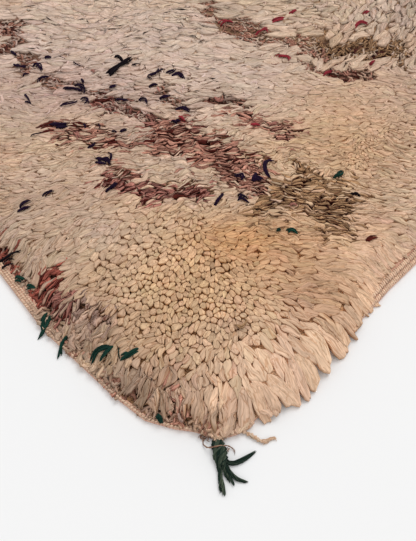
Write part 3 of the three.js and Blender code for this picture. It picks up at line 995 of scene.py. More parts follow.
# Shade, half width in pixels, share of coloured locks in the middle, how dark the painted
# shade in the gaps is, and the line followed.
bands = [
    ("brown", 15, 0.60, 1.0, [(4, 52), (30, 66), (52, 78)]),
    ("brown", 10, 0.45, 1.0, [(58, 82), (88, 92), (112, 96)]),
    ("maroon", 13, 0.70, 1.0, [(98, 104), (135, 112), (160, 122), (190, 128), (206, 150)]),
    ("brown", 12, 0.70, 1.0, [(52, 130), (90, 134), (130, 146)]),
    ("brown", 14, 0.60, 0.9, [(160, 85), (172, 100), (196, 112)]),
    ("maroon", 12, 0.90, 1.0, [(108, 182), (130, 190), (160, 193), (206, 193)]),
    ("brown", 8, 0.50, 1.0, [(104, 166), (138, 176)]),
    ("brown", 22, 0.85, 1.0, [(165, 138), (205, 150), (232, 165), (252, 185)]),
    ("brown", 12, 0.80, 1.0, [(214, 98), (240, 104), (262, 126), (290, 136)]),
    ("olive", 26, 0.75, 1.0, [(262, 205), (300, 196), (345, 214)]),
    ("olive", 12, 0.55, 1.0, [(320, 226), (358, 232)]),
    ("brown", 16, 0.70, 0.6, [(214, 14), (236, 28), (258, 34)]),
    ("brown", 14, 0.70, 0.75, [(258, 40), (290, 44), (325, 50)]),
    ("olive", 13, 0.85, 1.0, [(322, 48), (360, 46), (404, 56)]),
    ("brown", 8, 0.70, 1.0, [(286, 62), (330, 74), (376, 78)]),
    ("brown", 15, 0.70, 1.0, [(-10, 30), (20, 32)]),
    ("rust", 14, 1.00, 1.0, [(-10, 236), (11, 252)]),
    ("rust", 11, 0.90, 1.0, [(40, 292), (50, 284), (58, 276)]),
    ("maroon", 8, 0.90, 1.0, [(50, 294), (62, 298), (74, 302)]),
    ("rust", 8, 0.70, 0.8, [(6, 264), (26, 258)]),
    ("mauve", 14, 0.50, 0.85, [(80, 308), (100, 322)]),
    ("brown", 14, 0.45, 0.35, [(60, 330), (100, 372), (130, 392)]),
    ("brown", 14, 0.45, 0.35, [(150, 402), (188, 410), (222, 414)]),
]


# %% Where the bands run
def oval(px, py, middle_x, middle_y, half_x, half_y):
    """Squared distance of pixels from the middle of an oval: 1 on its outline."""
    return ((px - middle_x) / half_x) ** 2 + ((py - middle_y) / half_y) ** 2


def away_from_line(px, py, line):
    """Distance in pixels from a bent line."""
    nearest = np.full(px.shape, 1e9)
    for (ax, ay), (bx, by) in zip(line[:-1], line[1:]):
        run = (bx - ax) ** 2 + (by - ay) ** 2
        share = np.clip(((px - ax) * (bx - ax) + (py - ay) * (by - ay)) / run, 0, 1)
        away = np.hypot(px - ax - share * (bx - ax), py - ay - share * (by - ay))
        nearest = np.minimum(nearest, away)
    return nearest


def near_picture(px, py):
    """1 in the picture and just round it, fading to 0 at 40 pixels from its top and sides."""
    inside = np.minimum.reduce([px + 40, picture_wide + 40 - px, py + 40])
    return np.clip(inside / 30, 0, 1)


# Bands beyond the picture, in metres: between two bands, half the width of one, and the
# length and height of a zigzag.
far_apart, far_half, zigzag_long, zigzag_high = 0.40, 0.022, 0.30, 0.075


def band_shares(x, y):
    """For each band, the chance that a lock is coloured; the last row is for far bands."""
    px, py = pixels(x, y)
    ragged = 0.40 * drift(x, y, 0.035, 41) + 0.40 * drift(x, y, 0.012, 42)
    shares = []
    for _, half, share, _, line in bands:
        fall = np.clip(1.35 + ragged - away_from_line(px, py, line) / half, 0, 1)
        shares.append(share * fall)
    zigzag = zigzag_high * (2 * np.abs((x / zigzag_long + 0.25) % 1 - 0.5) - 0.5)
    across = (y + zigzag + 0.03 * drift(x, y, 0.2, 43)) / far_apart
    off = np.abs(across - np.round(across)) * far_apart
    far = np.clip(1.3 + ragged * 1.3 - off / far_half, 0, 1) * 0.65
    shares.append(far * (1 - near_picture(px, py)))
    return np.array(shares)


# %% The shade of the fleece
def fleece(x, y):
    """The undyed shade of the wool at many places."""
    px, py = pixels(x, y)
    wander = drift(x, y, 0.30, 51)[:, None]
    shade = wool["straw"] * (0.5 - 0.5 * wander) + wool["cream"] * (0.5 + 0.5 * wander)
    warm = np.clip(drift(x, y, 0.17, 52), 0, 1)[:, None] * 0.5
    shade = blend(shade, wool["yellow"], warm)
    for size, seed, name in ((0.05, 53, "honey"), (0.045, 54, "mauve"), (0.03, 55, "cream")):
        amount = (np.clip(drift(x, y, size, seed), 0, 1) * 0.45)[:, None]
        shade = blend(shade, wool[name], amount)
    for *place, name, strength in washes:
        amount = (strength * np.exp(-oval(px, py, *place) * 0.9))[:, None]
        shade = blend(shade, wool[name], amount)
    return shade


# %% Paler and darker places, and how matted the pile is
# Pixel of the middle, half size across and down, and how much paler the felted locks are made
# there. Below zero they are darker.
paler_or_darker = [
    (295, 380, 120, 40, 0.15), (180, 285, 80, 50, 0.10), (385, 280, 50, 40, 0.22),
    (330, 300, 30, 25, -0.16), (60, 20, 150, 60, 0.11), (230, 70, 110, 55, 0.08),
    (40, 290, 60, 30, -0.08), (290, 280, 45, 30, -0.10), (338, 345, 30, 25, 0.08),
    (60, 230, 80, 60, -0.06),
]

# Pixel of the middle, half size across and down, and how matted the pile is there.
matted = [
    (150, 240, 400, 400, 0.45), (120, 0, 190, 75, 1.0), (300, 95, 130, 60, 0.8),
    (50, 115, 70, 45, 0.85), (385, 248, 30, 24, 1.0), (50, 200, 60, 50, 0.65),
    (20, 90, 60, 30, 0.85), (290, 380, 70, 45, 0.75), (372, 265, 60, 36, 1.0),
]


def softness(x, y):
    """How matted the pile is: 1 where its gaps have closed, 0 where they are deep."""
    px, py = pixels(x, y)
    soft = np.full(x.shape, 0.25)
    for *place, closed in matted:
        soft = np.maximum(soft, closed * np.exp(-0.7 * oval(px, py, *place)))
    standing = oval(px, py, 195, 290, 105, 75)  # the upright locks in the middle
    soft = soft * (1 - 0.85 * np.exp(-0.8 * standing ** 2))
    soft = soft * (1 - 0.7 * np.exp(-oval(px, py, 140, 385, 90, 45)))  # the curls by the end
    return soft * (1 - 0.8 * np.clip(band_shares(x, y).max(axis=0) * 1.3, 0, 1))


def painted_gap_shade(shade, x, y):
    """Painted shade for the gaps between locks and for their roots: darker and warmer than the
    tips.
    """
    open_gap = np.array([0.72, 0.54, 0.34])
    closed_gap = np.array([0.96, 0.91, 0.86])
    return shade * blend(open_gap, closed_gap, softness(x, y)[:, None])


def darken_band_gaps(deep, x, y):
    """In the coloured bands the painted shade of the gaps goes to the dark wool's maroon brown, a
    little darker still.
    """
    shares = band_shares(x, y)
    darkness = np.array([gap for *_, gap, _ in bands] + [1.0])[shares.argmax(axis=0)]
    amount = (np.clip(shares.max(axis=0) * 1.4, 0, 1) * darkness)[:, None]
    return blend(deep, wool["dark"] * 0.8, amount)


# %% [markdown]
# ## The matted wool between the locks
#
# Between the locks the eye looks down into felted wool, not at the bare weave. A low copy of
# the CAD block lies under the tips and closes those gaps. It lies just under the locks where
# feet have matted the pile, and several millimetres down where the locks stand apart.

# %% The felted bed
bed_floor = 0.4 * MM  # the bed's lowest height
bed_half = 0.4515  # it stays this close to the middle line, and just inside the outline


def bed_height(x, y, top):
    """Height of the felted bed under a pile of some height."""
    depth = (5.6 - 5.1 * softness(x, y)) * MM * np.clip(top / (16 * MM), 0.45, 1)
    return np.maximum(top - depth, bed_floor)


bed = block_copy()
upper_edges = {
    edge for face in bed.faces if face.normal.z > 0.3 for edge in face.edges
}
bmesh.ops.subdivide_edges(bed, edges=list(upper_edges), cuts=2, use_grid_fill=True)
places = np.array([corner.co for corner in bed.verts])
under_top = bed_height(places[:, 0], places[:, 1], places[:, 2])
for corner, height in zip(bed.verts, under_top):
    corner.co.z = height if corner.co.z > 1e-4 else bed_floor
    corner.co.x = max(-bed_half, min(bed_half, corner.co.x * 0.992))
    corner.co.y *= 0.9965
for face in bed.faces:
    face.smooth = True


# %% Felt
def along_and_across(dx, dy, turn):
    """A step over the runner, measured along a heading and across it."""
    c, s = turn
    return dx * c + dy * s, dy * c - dx * s


def felt_material():
    """Matted wool: fine wavy creases between flattened strands."""
    material, tree = new_material("felted_pile_wool")
    tint, fibre = add_attributes(tree)
    # strands about 14 mm long and 4.5 mm apart
    crease = add_creases(tree, fibre, (14, 4.5, 6), 0.05, 1.2)
    # the creases are darkened: painted shade between the strands
    light = add_range(tree, crease.outputs["Result"], (0.0, 1.0), (1.08, 0.55))
    colour = add_shade(tree, tint, light.outputs["Result"])
    add_surface(tree, colour.outputs["Vector"], crease.outputs["Result"],
                {"Roughness": 0.95, "Specular IOR Level": 0.1, "Sheen Weight": 0.05},
                0.8, 1.5, sunk=True)
    return material


pile_bed = declare(made_from("pile_bed", bed, felt_material()))
places = np.empty(len(pile_bed.data.vertices) * 3)
pile_bed.data.vertices.foreach_get("co", places)
places = places.reshape(-1, 3)
bed_x, bed_y = places[:, 0], places[:, 1]
# the bed takes the painted shade of the gaps as its colour
bed_painted_shade = darken_band_gaps(painted_gap_shade(fleece(bed_x, bed_y), bed_x, bed_y), bed_x, bed_y)
# painted shade: darker still where the locks stand apart, lighter where the pile is matted
bed_painted_shade *= (0.8 + 0.3 * softness(bed_x, bed_y) ** 2)[:, None]
# matted strands lie across the picture
bed_fibre = np.column_stack([*along_and_across(bed_x, bed_y, rightwards.xy), places[:, 2]]) / MM
paint_points(pile_bed.data, bed_painted_shade, bed_fibre)
pile_pieces.append(pile_bed)
print("pile bed:", len(pile_bed.data.polygons), "faces")


# %% [markdown]
# ## Planting the locks
#
# Real knots sit in rows about 9 mm apart, but few locks show apart from their neighbours.
# Free locks stand only where they do: along the edges that they hang over, in the brown
# bands, and sparsely in the far part of the view. Their roots are set out on staggered grids
# of 5 to 13 mm and then shaken. The locks that are felted together fill all the rest. What
# the photograph doesn't show has broader locks, so the mesh stays light.

# %% Roots
pile_wide, pile_long = 0.92, 2.42  # of the rectangle that the grids cover
row_share = 0.866  # rows of a staggered grid are closer than its columns
root_height = 7.0 * MM  # a lock starts only where the pile is higher than this
root_half = 0.4485  # and this close to the runner's middle line


def roots(pitch, shake):
    """A shaken, staggered grid of places where locks can start."""
    rows = int(pile_long / (pitch * row_share))
    columns = int(pile_wide / pitch)
    j, i = np.meshgrid(np.arange(rows), np.arange(columns), indexing="ij")
    x = (-pile_wide / 2 + (i + 0.5 * (j % 2)) * pitch).ravel()
    y = (-pile_long / 2 + j * pitch * row_share).ravel()
    x = x + random.uniform(-shake, shake, x.size) * pitch
    y = y + random.uniform(-shake, shake, y.size) * pitch
    rooted = (look_up(measured, x, y) > root_height) & (np.abs(x) < root_half)
    return x[rooted], y[rooted]


# %% A lock at each root
def plant(x, y, wide_scale=1.0, length_scale=1.0, wave_scale=1.0):
    """Locks at their roots, lying as the comb says, with chance differences."""
    count = len(x)
    lie = lie_of_pile(x, y)
    lean = np.clip(lie[:, lean_at] + random.normal(0, 0.05, count), 0.05, 0.99)
    heading = np.arctan2(lie[:, 1], lie[:, 0])
    heading = heading + 0.35 * drift(x, y, 0.022, 61) + random.normal(0, 0.12, count)
    wide = lie[:, width_at] * wide_scale * random.uniform(0.8, 1.25, count) * MM
    length = lie[:, length_at] * length_scale * random.uniform(0.85, 1.15, count) * MM
    length = length * np.where(overhung(x, y), 1.5, 1)  # long enough to reach the rim
    shade = fleece(x, y)
    uneven = 0.075 - 0.04 * softness(x, y)[:, None]
    shade = shade * (1 + uneven * random.normal(0, 1, (count, 1)))
    shade = shade * random.normal(1, 0.014, (count, 3))
    shade = np.clip(shade, 0.01, 0.95)
    # painted shade for the lock's root and underside, and for the gaps round it
    deep = darken_band_gaps(painted_gap_shade(shade, x, y), x, y)
    bed_top = bed_height(x, y, look_up(measured, x, y))
    standing = lean < 0.45
    flat = np.where(standing, 1.0, 0.92 - 0.36 * lean) * np.where(wide > 10 * MM, 0.7, 1)
    bendy = np.clip(1.4 - wide / (14 * MM), 0.35, 1)
    lock = {
        "x": x, "y": y, "z": np.maximum(bed_top - 3 * MM, 1.5 * MM), "length": length,
        "wide": wide, "thick": wide * flat, "heading": heading,
        "curl": (random.normal(0, 0.25, count) + 0.25 * drift(x, y, 0.04, 63)) * bendy,
        # how steep the root and the tip are, and how far along the lock has turned over
        "rise": np.radians(88 - 34 * lean), "fall": np.radians(90 * (1 - lean)),
        "turn_over": np.clip(1.05 - 0.62 * lean, 0.2, 1),
        "wave": lie[:, wave_at] * 1.5 * wave_scale * random.uniform(0.6, 1.3, count),
        "waves": random.uniform(0.9, 1.7, count),
        "phase": 2 * math.pi * drift(x, y, 0.05, 62) + random.normal(0, 0.5, count),
        "layer": random.normal(0.2, 0.6, count) * MM,
        "sink": (4.0 - 2.2 * softness(x, y)) * MM,
        "point": np.clip(lie[:, point_at] + random.normal(0, 0.1, count), 0, 1),
        "shade": shade, "deep": deep,
    }
    trim_to_edge(lock)
    stop_at_top(lock)
    return lock


def pick(lock, chosen):
    """Some of the locks."""
    return {name: value[chosen] for name, value in lock.items()}


# %% [markdown]
# ## Locks that are felted together
#
# In the middle of the pile the locks are pressed together. Where they stand, only their tips
# show, like cobbles. Where they lie, each is long and flat, with a thin dark crease round it,
# partly real shadow and partly painted shade. Round tubes would leave holes between them. So
# each lock is cut to the ground that lies nearer to it than to any neighbour, its Voronoi
# cell, measured with a ruler that is stretched the way the pile lies. Then the whole pattern
# is wavered, as wool is.

# %% Where the felted locks are
closest = 0.84  # the next lock's middle is at least this many widths away, across the lock


def spread_out(x, y, heading, wide, stretch):
    """Keeps places in random order, each only where no kept lock covers it already."""
    square = 1 * MM
    column = ((x - grid_x[0]) / square).astype(int)
    row = ((y - grid_y[0]) / square).astype(int)
    taken = np.zeros((int(2.6 / square), int(1.1 / square)), dtype=bool)
    kept = []
    for i in random.permutation(len(x)):
        if taken[row[i], column[i]]:
            continue
        kept.append(i)
        half = int(closest * wide[i] * stretch[i] / square) + 1
        low_row, low_column = max(row[i] - half, 0), max(column[i] - half, 0)
        patch = taken[low_row:row[i] + half + 1, low_column:column[i] + half + 1]
        dy, dx = np.indices(patch.shape)
        dy = (dy + low_row - row[i]) * square
        dx = (dx + low_column - column[i]) * square
        turn = math.cos(heading[i]), math.sin(heading[i])
        along, across = along_and_across(dx, dy, turn)
        patch |= (along / stretch[i]) ** 2 + across ** 2 < (closest * wide[i]) ** 2
    return np.array(kept)


# %% The outline of one felted lock
def trimmed(outline, toward):
    """Cuts away the part of an outline beyond the halfway line to a neighbour."""
    limit = (toward[0] ** 2 + toward[1] ** 2) / 2
    kept = []
    for (ax, ay), (bx, by) in zip(outline, outline[1:] + outline[:1]):
        a = ax * toward[0] + ay * toward[1] - limit
        b = bx * toward[0] + by * toward[1] - limit
        if a <= 0:
            kept.append((ax, ay))
        if (a < 0) != (b < 0):
            kept.append((ax + (bx - ax) * a / (a - b), ay + (by - ay) * a / (a - b)))
    return kept


def evened(ring, sides):
    """A closed outline with its corners spread evenly along it."""
    ring = np.vstack([ring, ring[:1]])
    distances = travelled(ring)
    return read_along(distances[-1] * np.arange(sides) / sides, distances, ring)


def cell_outline(offsets, reach, stretch, sides):
    """A lock's outline among its neighbours, as evenly spread corners."""
    around = [2 * math.pi * i / 16 for i in range(16)]
    outline = [(reach * math.cos(angle), reach * math.sin(angle)) for angle in around]
    for toward in offsets:
        outline = trimmed(outline, toward)
    spread = evened(np.array(outline) * (stretch, 1), sides)
    rounder = (np.roll(spread, 1, axis=0) + np.roll(spread, -1, axis=0)) / 2
    return spread * 0.88 + rounder * 0.12


# %% Outlines of all the locks
neighbours = 15  # places nearest to a lock, with its own, that can shape its outline


def all_outlines(x, y, heading, wide, stretch, sides):
    """Outlines of all felted locks: the middle and the corners round it, along and across."""
    middles, rings = [], []
    for i in range(len(x)):
        turn = math.cos(heading[i]), math.sin(heading[i])
        along, across = along_and_across(x - x[i], y - y[i], turn)
        along = along / stretch[i]
        far = along * along + across * across
        close = np.argpartition(far, min(neighbours, len(far) - 1))[:neighbours]
        close = close[np.argsort(far[close])][1:]
        ring = cell_outline(zip(along[close], across[close]), 1.1 * wide[i], stretch[i], sides[i])
        middles.append(ring.mean(axis=0))
        rings.append(ring - middles[-1])
    return np.array(middles), rings


# %% Keep them on the runner
broad = 8 * MM  # locks wider than this hang over an edge as separate tips


def from_lock(x, y, along, across, turn):
    """Where a place lies that is measured along and across a lock."""
    c, s = turn
    return x + along * c - across * s, y + along * s + across * c


def pull_in(lock, middles, rings):
    """Pulls the parts of locks that reach out past the pile back to its edge, unevenly."""
    owner = np.repeat(np.arange(len(rings)), [len(ring) for ring in rings])
    flat = np.concatenate(rings)
    turn = np.cos(lock["heading"])[owner], np.sin(lock["heading"])[owner]
    hang = np.where(lock["wide"] > broad, random.normal(1.8, 4.0, len(rings)),
                    random.uniform(-1.5, 1.0, len(rings)))
    hang = np.clip(hang, -4, 8)[owner] * MM
    shrink = np.ones(len(flat))
    for _ in range(9):
        along = middles[owner, 0] + flat[:, 0] * shrink - hang
        across = middles[owner, 1] + flat[:, 1] * shrink
        x, y = from_lock(lock["x"][owner], lock["y"][owner], along, across, turn)
        outside = look_up(measured, *waver(x, y)) < bare_height
        shrink[outside] *= 0.84  # a little at a time, until it lies on the pile
    flat = flat * shrink[:, None]
    ends = np.cumsum([len(ring) for ring in rings])[:-1]
    starts = np.concatenate([[0], ends])
    at_edge = ((np.minimum.reduceat(shrink, starts) < 1) & (lock["wide"] > broad))[owner]
    furthest = np.maximum.reduceat(flat[:, 0], starts)[owner]
    toward_tip = np.clip(flat[:, 0] / (furthest + 1e-9), 0, 1)
    flat[:, 1] *= np.where(at_edge, 1 - 0.5 * toward_tip ** 3, 1)  # leaves notches between tips
    print("corners pulled in:", int((shrink < 1).sum()))
    return np.split(flat, ends)


# %% Grow the felted locks
inset = np.array([0.5, 0.05, 0.34]) * MM  # of the lower levels, from the outline
under_tip = np.array([6.5, 1.1, 0.38, 0.1, 0.0]) * MM  # depth of each level under the top


def waver(x, y):
    """Moves places a little, the same way for neighbours, so that the creases wind."""
    further = np.clip((140 - pixels(x, y)[1]) / 100, 0, 1)
    amount = (1.1 + 4.4 * lie_of_pile(x, y)[:, wave_at]) * (1 + 0.4 * further) * MM
    across = drift(x, y, 0.011, 71) + 0.5 * drift(x, y, 0.005, 73)
    along = drift(x, y, 0.011, 72) + 0.5 * drift(x, y, 0.005, 74)
    return x + amount * across, y + amount * along


# %% The mesh of the felted locks
def felted_mesh(name, kind, lock, middles, rings, material, crease, gap):
    """Felted locks of one kind as one mesh, their tops near the top of the pile."""
    count = len(rings)
    ring_at = np.array([tip_levels.index(level) for level in kind["levels"]])[kind["ring"]]
    sides = rings.shape[1]
    turn = np.arctan2(kind["corners"][:, 1], kind["corners"][:, 0]) / (2 * math.pi)
    turn = np.round(turn * sides).astype(int) % sides
    half = np.abs(rings).max(axis=1)  # half length and half width of each lock
    # how far each level is drawn in along and across the lock, from its root to its tip
    shrink = np.ones((count, 5, 2)) * 0.62
    shrink[:, :3] = np.clip(1 - gap * inset[None, :, None] / half[:, None, :], 0.45, 1)
    shrink[:, 4] = 0
    local = rings[:, turn] * shrink[:, ring_at]
    turn_to = np.cos(lock["heading"])[:, None], np.sin(lock["heading"])[:, None]
    along, across = local[..., 0] + middles[:, :1], local[..., 1] + middles[:, 1:]
    x, y = from_lock(lock["x"][:, None], lock["y"][:, None], along, across, turn_to)
    x, y = (value.reshape(local.shape[:2]) for value in waver(x.ravel(), y.ravel()))
    relief = 1 - 0.9 * softness(lock["x"], lock["y"])[:, None]  # low where feet have pressed
    steps = random.normal(0.7, 0.4, (count, 1)) * MM / half[:, :1]  # each tip stands proud
    rise = local[..., 0] * steps + local[..., 1] * random.normal(0, 0.08, (count, 1))
    rise = rise + 0.8 * lock["layer"][:, None] + 0.2 * MM * random.normal(0, 1, rise.shape)
    top = look_up(softened, x, y) + rise * relief
    wander = drift(x, y, 0.012, 75) + 0.6 * drift(x, y, 0.006, 76)
    openness = np.clip(0.55 + 1.2 * wander, 0.03, 1.3) * crease[:, None]  # creases come and go
    openness = np.where(ring_at == 0, 1, openness * relief ** 0.5)
    z = np.maximum(top - under_tip[ring_at][None, :] * openness, least_height)
    # the lower levels take the painted shade of the gaps, so a dark crease runs round each lock
    darkness = np.array([1.0, 0.9, 0.15 * gap ** 2, 0, 0])[ring_at][None, :]
    light = np.clip(1 - darkness * openness, 0, 1)[..., None]
    tint = blend(lock["deep"][:, None, :], lock["shade"][:, None, :], light)
    shift = random.uniform(0, 900, (count, 1))
    fibre = np.stack([across / MM + shift, (top - z) / MM, along / MM + 3 * shift], axis=-1)
    piece = join_copies(name, kind, np.stack([x, y, z], axis=-1), tint, fibre, material)
    pile_pieces.append(declare(piece))


# %% Plan the felted locks
unseen_coarseness = 1.62  # beyond the picture
long_from = 1.8  # a lock stretched more than this needs more corners round it


def coarseness(x, y):
    """How broad the felted locks are made: truly where they show large, coarser elsewhere."""
    px, py = pixels(x, y)
    seen = 0.72 + 0.80 * np.clip((140 - py) / 100, 0, 1)
    seen -= 0.11 * np.exp(-oval(px, py, 190, 295, 95, 70))
    seen += 0.04 * np.exp(-oval(px, py, 290, 385, 60, 40))
    return blend(unseen_coarseness, seen, near_picture(px, py))


def felted(x, y, finest=0.0, widest=1.0, least_stretch=1.05):
    """Felted locks that fill the places given, with their outlines."""
    lie = lie_of_pile(x, y)
    lean = lie[:, lean_at]
    heading = np.arctan2(lie[:, 1], lie[:, 0]) + 0.5 * drift(x, y, 0.018, 77)
    agreed = np.hypot(lie[:, 0], lie[:, 1])  # small where streams of wool meet head on
    lying = np.clip((lean - 0.3) / 0.5, 0, 1) * np.clip((agreed - 0.3) / 0.4, 0, 1)
    coarse = coarseness(x, y)
    wide = lie[:, width_at] * coarse * (0.74 + 0.26 * lying) * MM
    wide = np.clip(wide, finest, widest) * random.uniform(0.65, 1.4, len(x))
    longest = np.minimum(0.62 * lie[:, length_at] * MM, 60 * MM) / wide
    longest = longest * np.maximum(coarse, 1)
    stretch = 1.1 + (longest - 1.1) * lying + random.uniform(0, 0.7, len(x))
    stretch = np.clip(stretch, least_stretch, 5.0)
    kept = spread_out(x, y, heading, wide, stretch)
    lock = plant(x[kept], y[kept])
    wide, stretch, coarse = wide[kept], stretch[kept], coarse[kept]
    turned = np.where(stretch < long_from, 0.25, 0.1)
    lock["heading"] = heading[kept] + turned * random.normal(0, 1, len(kept))
    lock["stretch"] = stretch
    # corners round each lock: fewer where it shows small
    lock["sides"] = np.where(stretch > long_from, 15, 9)
    lock["sides"][coarse > 1.0] = 9
    lock["sides"][coarse > 1.5] = 7
    middles, rings = all_outlines(lock["x"], lock["y"], lock["heading"], wide, stretch,
                                  lock["sides"])
    lock["middles"] = middles
    overlap = 1 + 0.09 * softness(lock["x"], lock["y"])  # matted locks run into each other
    rings = [ring * wider for ring, wider in zip(rings, overlap)]
    return lock, pull_in(lock, middles, rings)


def grow_felted(name, lock, rings, material, crease, gap=1.0):
    """Makes the meshes of some felted locks, each number of sides apart."""
    for kind, sides in ((plain_tip, 7), (round_tip, 9), (slim_tip, 11), (long_tip, 15)):
        chosen = np.flatnonzero(lock["sides"] == sides)
        if len(chosen):
            felted_mesh(f"{name}_{sides}_sided", kind, pick(lock, chosen),
                        lock["middles"][chosen], np.array([rings[i] for i in chosen]),
                        material, crease[chosen], gap)


# %% Locks that the photograph shows
common = 0.25  # share of coloured locks above which wool counts as part of a band
edge_height = 9 * MM  # the pile is lower than this only along its edges
far_row, far_row_wander = 118, 22  # above about this pixel row single strands are too small


def in_band(x, y):
    """True where coloured locks are common enough for thinner, curlier wool."""
    return band_shares(x, y).max(axis=0) > common


def scattered(count, lowest, highest):
    """Places scattered over a rectangle of the runner, wherever there is pile."""
    x = random.uniform(lowest[0], highest[0], count)
    y = random.uniform(lowest[1], highest[1], count)
    rooted = look_up(measured, x, y) > 8 * MM
    return x[rooted], y[rooted]


def shown_large(x, y):
    """True where the photograph shows the pile large enough to make out single strands."""
    limit = far_row + far_row_wander * drift(x, y, 0.03, 78)
    return in_view(x, y) & (pixels(x, y)[1] > limit)


def meets_edge(x, y, run=15 * MM):
    """True where a lock would reach the edge of the cloth, so it has to be free to hang."""
    lie = lie_of_pile(x, y)
    norm = np.hypot(lie[:, 0], lie[:, 1]) + 1e-9
    ahead = look_up(measured, x + run * lie[:, 0] / norm, y + run * lie[:, 1] / norm)
    px, py = pixels(x, y)
    pressed = (px > 335) & (px < 470) & (py > 150) & (py < 330)  # flat up to the selvedge
    return (ahead < edge_height) & ~pressed


# %% Give the bands their shades
def dye_bands(lock):
    """Gives the locks of a band their brown or cream shades, and says which are brown."""
    x, y, count = lock["x"], lock["y"], len(lock["x"])
    shares = band_shares(x, y)
    strength = shares.max(axis=0)
    chosen = shares.argmax(axis=0)
    coloured = strength > random.uniform(0, 1, count)
    darker = random.uniform(0, 1, count) < np.where(in_view(x, y), 0.12, 0.05)
    for index, name in enumerate([name for name, *_ in bands] + ["brown"]):
        here = chosen == index
        dyed = here & coloured
        amount = (0.5 * strength[here] * random.uniform(0.2, 1, here.sum()))[:, None]
        lock["shade"][here] = blend(lock["shade"][here], wool[name], amount)
        lock["shade"][dyed] = wool[name] * random.uniform(0.65, 1.35, (dyed.sum(), 1))
    deep_gaps = [gap > 0.9 and name != "olive" for name, _, _, gap, _ in bands] + [True]
    lock["shade"][coloured & darker & np.array(deep_gaps)[chosen]] = wool["dark"]
    return coloured


# %% Felted locks, undyed and in the bands
unseen_crease = 0.65  # how deep and dark the creases are beyond the picture
lying_from = 1.9  # a lock stretched more than this lies, the others stand
hanging_row = 250  # below this pixel row the broad locks are the smooth ones that hang
# Many more places than locks, in two rectangles given by their corners in metres: the part
# that the picture shows has them closer together.
fine_x, fine_y = scattered(80000, (-0.15, -1.21), (0.45, -0.35))
wide_x, wide_y = scattered(150000, (-0.45, -1.21), (0.45, 1.21))
x, y = np.concatenate([fine_x, wide_x]), np.concatenate([fine_y, wide_y])
banded = in_band(x, y) & shown_large(x, y)
inner = ~meets_edge(x, y)
chosen = inner & ~(in_band(x, y) & in_view(x, y))
lock, rings = felted(x[chosen], y[chosen])
outside = ~in_view(lock["x"], lock["y"])
dyed = pick(lock, outside)
dye_bands(dyed)
lock["shade"][outside] = dyed["shade"]
lock["shade"] *= (0.86, 0.84, 0.82)  # packed wool looks lighter than it does in single locks
px, py = pixels(lock["x"], lock["y"])
for *place, gain in paler_or_darker:
    paler = 1 + gain * np.exp(-oval(px, py, *place))[:, None]
    lock["shade"] *= paler
    lock["deep"] *= paler
soft = softness(lock["x"], lock["y"])
large = np.clip((py - 60) / 90, 0, 1)  # creases are only made out where locks show large
crease = (0.98 - 0.88 * soft) * (0.2 + 0.8 * large)
crease[outside] = unseen_crease
upright = lock["stretch"] < lying_from
matted_here = ~upright & (soft > 0.5)
hanging = ~upright & ~matted_here & (lock["wide"] > broad) & (py > hanging_row)
for name, some, material in (
    ("standing_locks", upright, pressed_wool), ("matted_locks", matted_here, matted_wool),
    ("hanging_locks", hanging, hanging_wool),
    ("combed_locks", ~upright & ~matted_here & ~hanging, combed_wool),
):
    some = np.flatnonzero(some)
    grow_felted(name, pick(lock, some), [rings[i] for i in some], material,
                crease[some])

chosen = inner & banded
lock, rings = felted(x[chosen], y[chosen], finest=2.2 * MM, widest=2.6 * MM, least_stretch=3.6)
lock["sides"][:] = 11
rings = [evened(ring, 11) for ring in rings]
coloured = dye_bands(lock)
for name, some, material, slot in (
    ("band_cream", ~coloured, combed_wool, "pile_wool"),
    ("band_brown", coloured, brown_wool, "brown_wool"),
):
    some = np.flatnonzero(some)
    grow_felted(name, pick(lock, some), [rings[i] for i in some], material,
                np.full(len(some), 2.0), gap=1.7)

# %% Free locks
x, y = roots(10.5 * MM, 0.36)
near = in_view(x, y) & (pixels(x, y)[1] > 150) & ~in_band(x, y) & meets_edge(x, y, 22 * MM)
near = near & (lie_of_pile(x, y)[:, width_at] > 8.3)  # where the comb asks for broad locks, in mm
grow("broad_locks", long_lock, plant(x[near], y[near]), hanging_wool)

for name, kind, pitch, thinnest, widest in (
    ("thin_locks", wavy_lock, 5.4, 0.0, 5.3), ("lying_locks", wavy_lock, 6.6, 5.3, 8.3),
):
    x, y = roots(pitch * MM, 0.25)
    asked = lie_of_pile(x, y)[:, width_at]
    stray = random.uniform(0, 1, len(x)) < 0.06
    near = shown_large(x, y) & ~in_band(x, y)
    near = near & (asked > thinnest) & (asked <= widest) & (meets_edge(x, y) | stray)
    grow(name, kind, plant(x[near], y[near], wide_scale=1.26), pile_wool)

for name, pitch, lowest, highest, broader in (
    ("distant_locks", 9.8, 60, 200, 0.9), ("farthest_locks", 12.4, -1000, 60, 1.05),
):
    x, y = roots(pitch * MM, 0.3)
    py = pixels(x, y)[1]
    upper = in_view(x, y) & (py > lowest) & (py <= highest) & ~in_band(x, y)
    upper = upper & ~shown_large(x, y)
    upper = upper & (random.uniform(0, 1, len(x)) > 0.6 * softness(x, y))
    lock = plant(x[upper], y[upper], wide_scale=broader, wave_scale=1.7)
    lock["layer"] += 1.2 * MM * drift(lock["x"], lock["y"], 0.02, 79)
    soft = softness(lock["x"], lock["y"])
    lock["thick"] *= 1 - 0.4 * soft
    lock["deep"] += (lock["shade"] - lock["deep"]) * 0.6 * soft[:, None]
    lock["curl"] += random.normal(0, 0.3, len(lock["x"]))
    # thin locks shade one another, so they start out paler
    lock["shade"] = np.clip(lock["shade"] * (1.19, 1.17, 1.25), 0, 0.97)
    grow(name, slim_lock, lock, matted_wool)

x, y = roots(13.0 * MM, 0.3)
away = ~shown_large(x, y) & meets_edge(x, y, 24 * MM)
grow("edge_locks", slim_lock, plant(x[away], y[away], wide_scale=1.4), pile_wool)

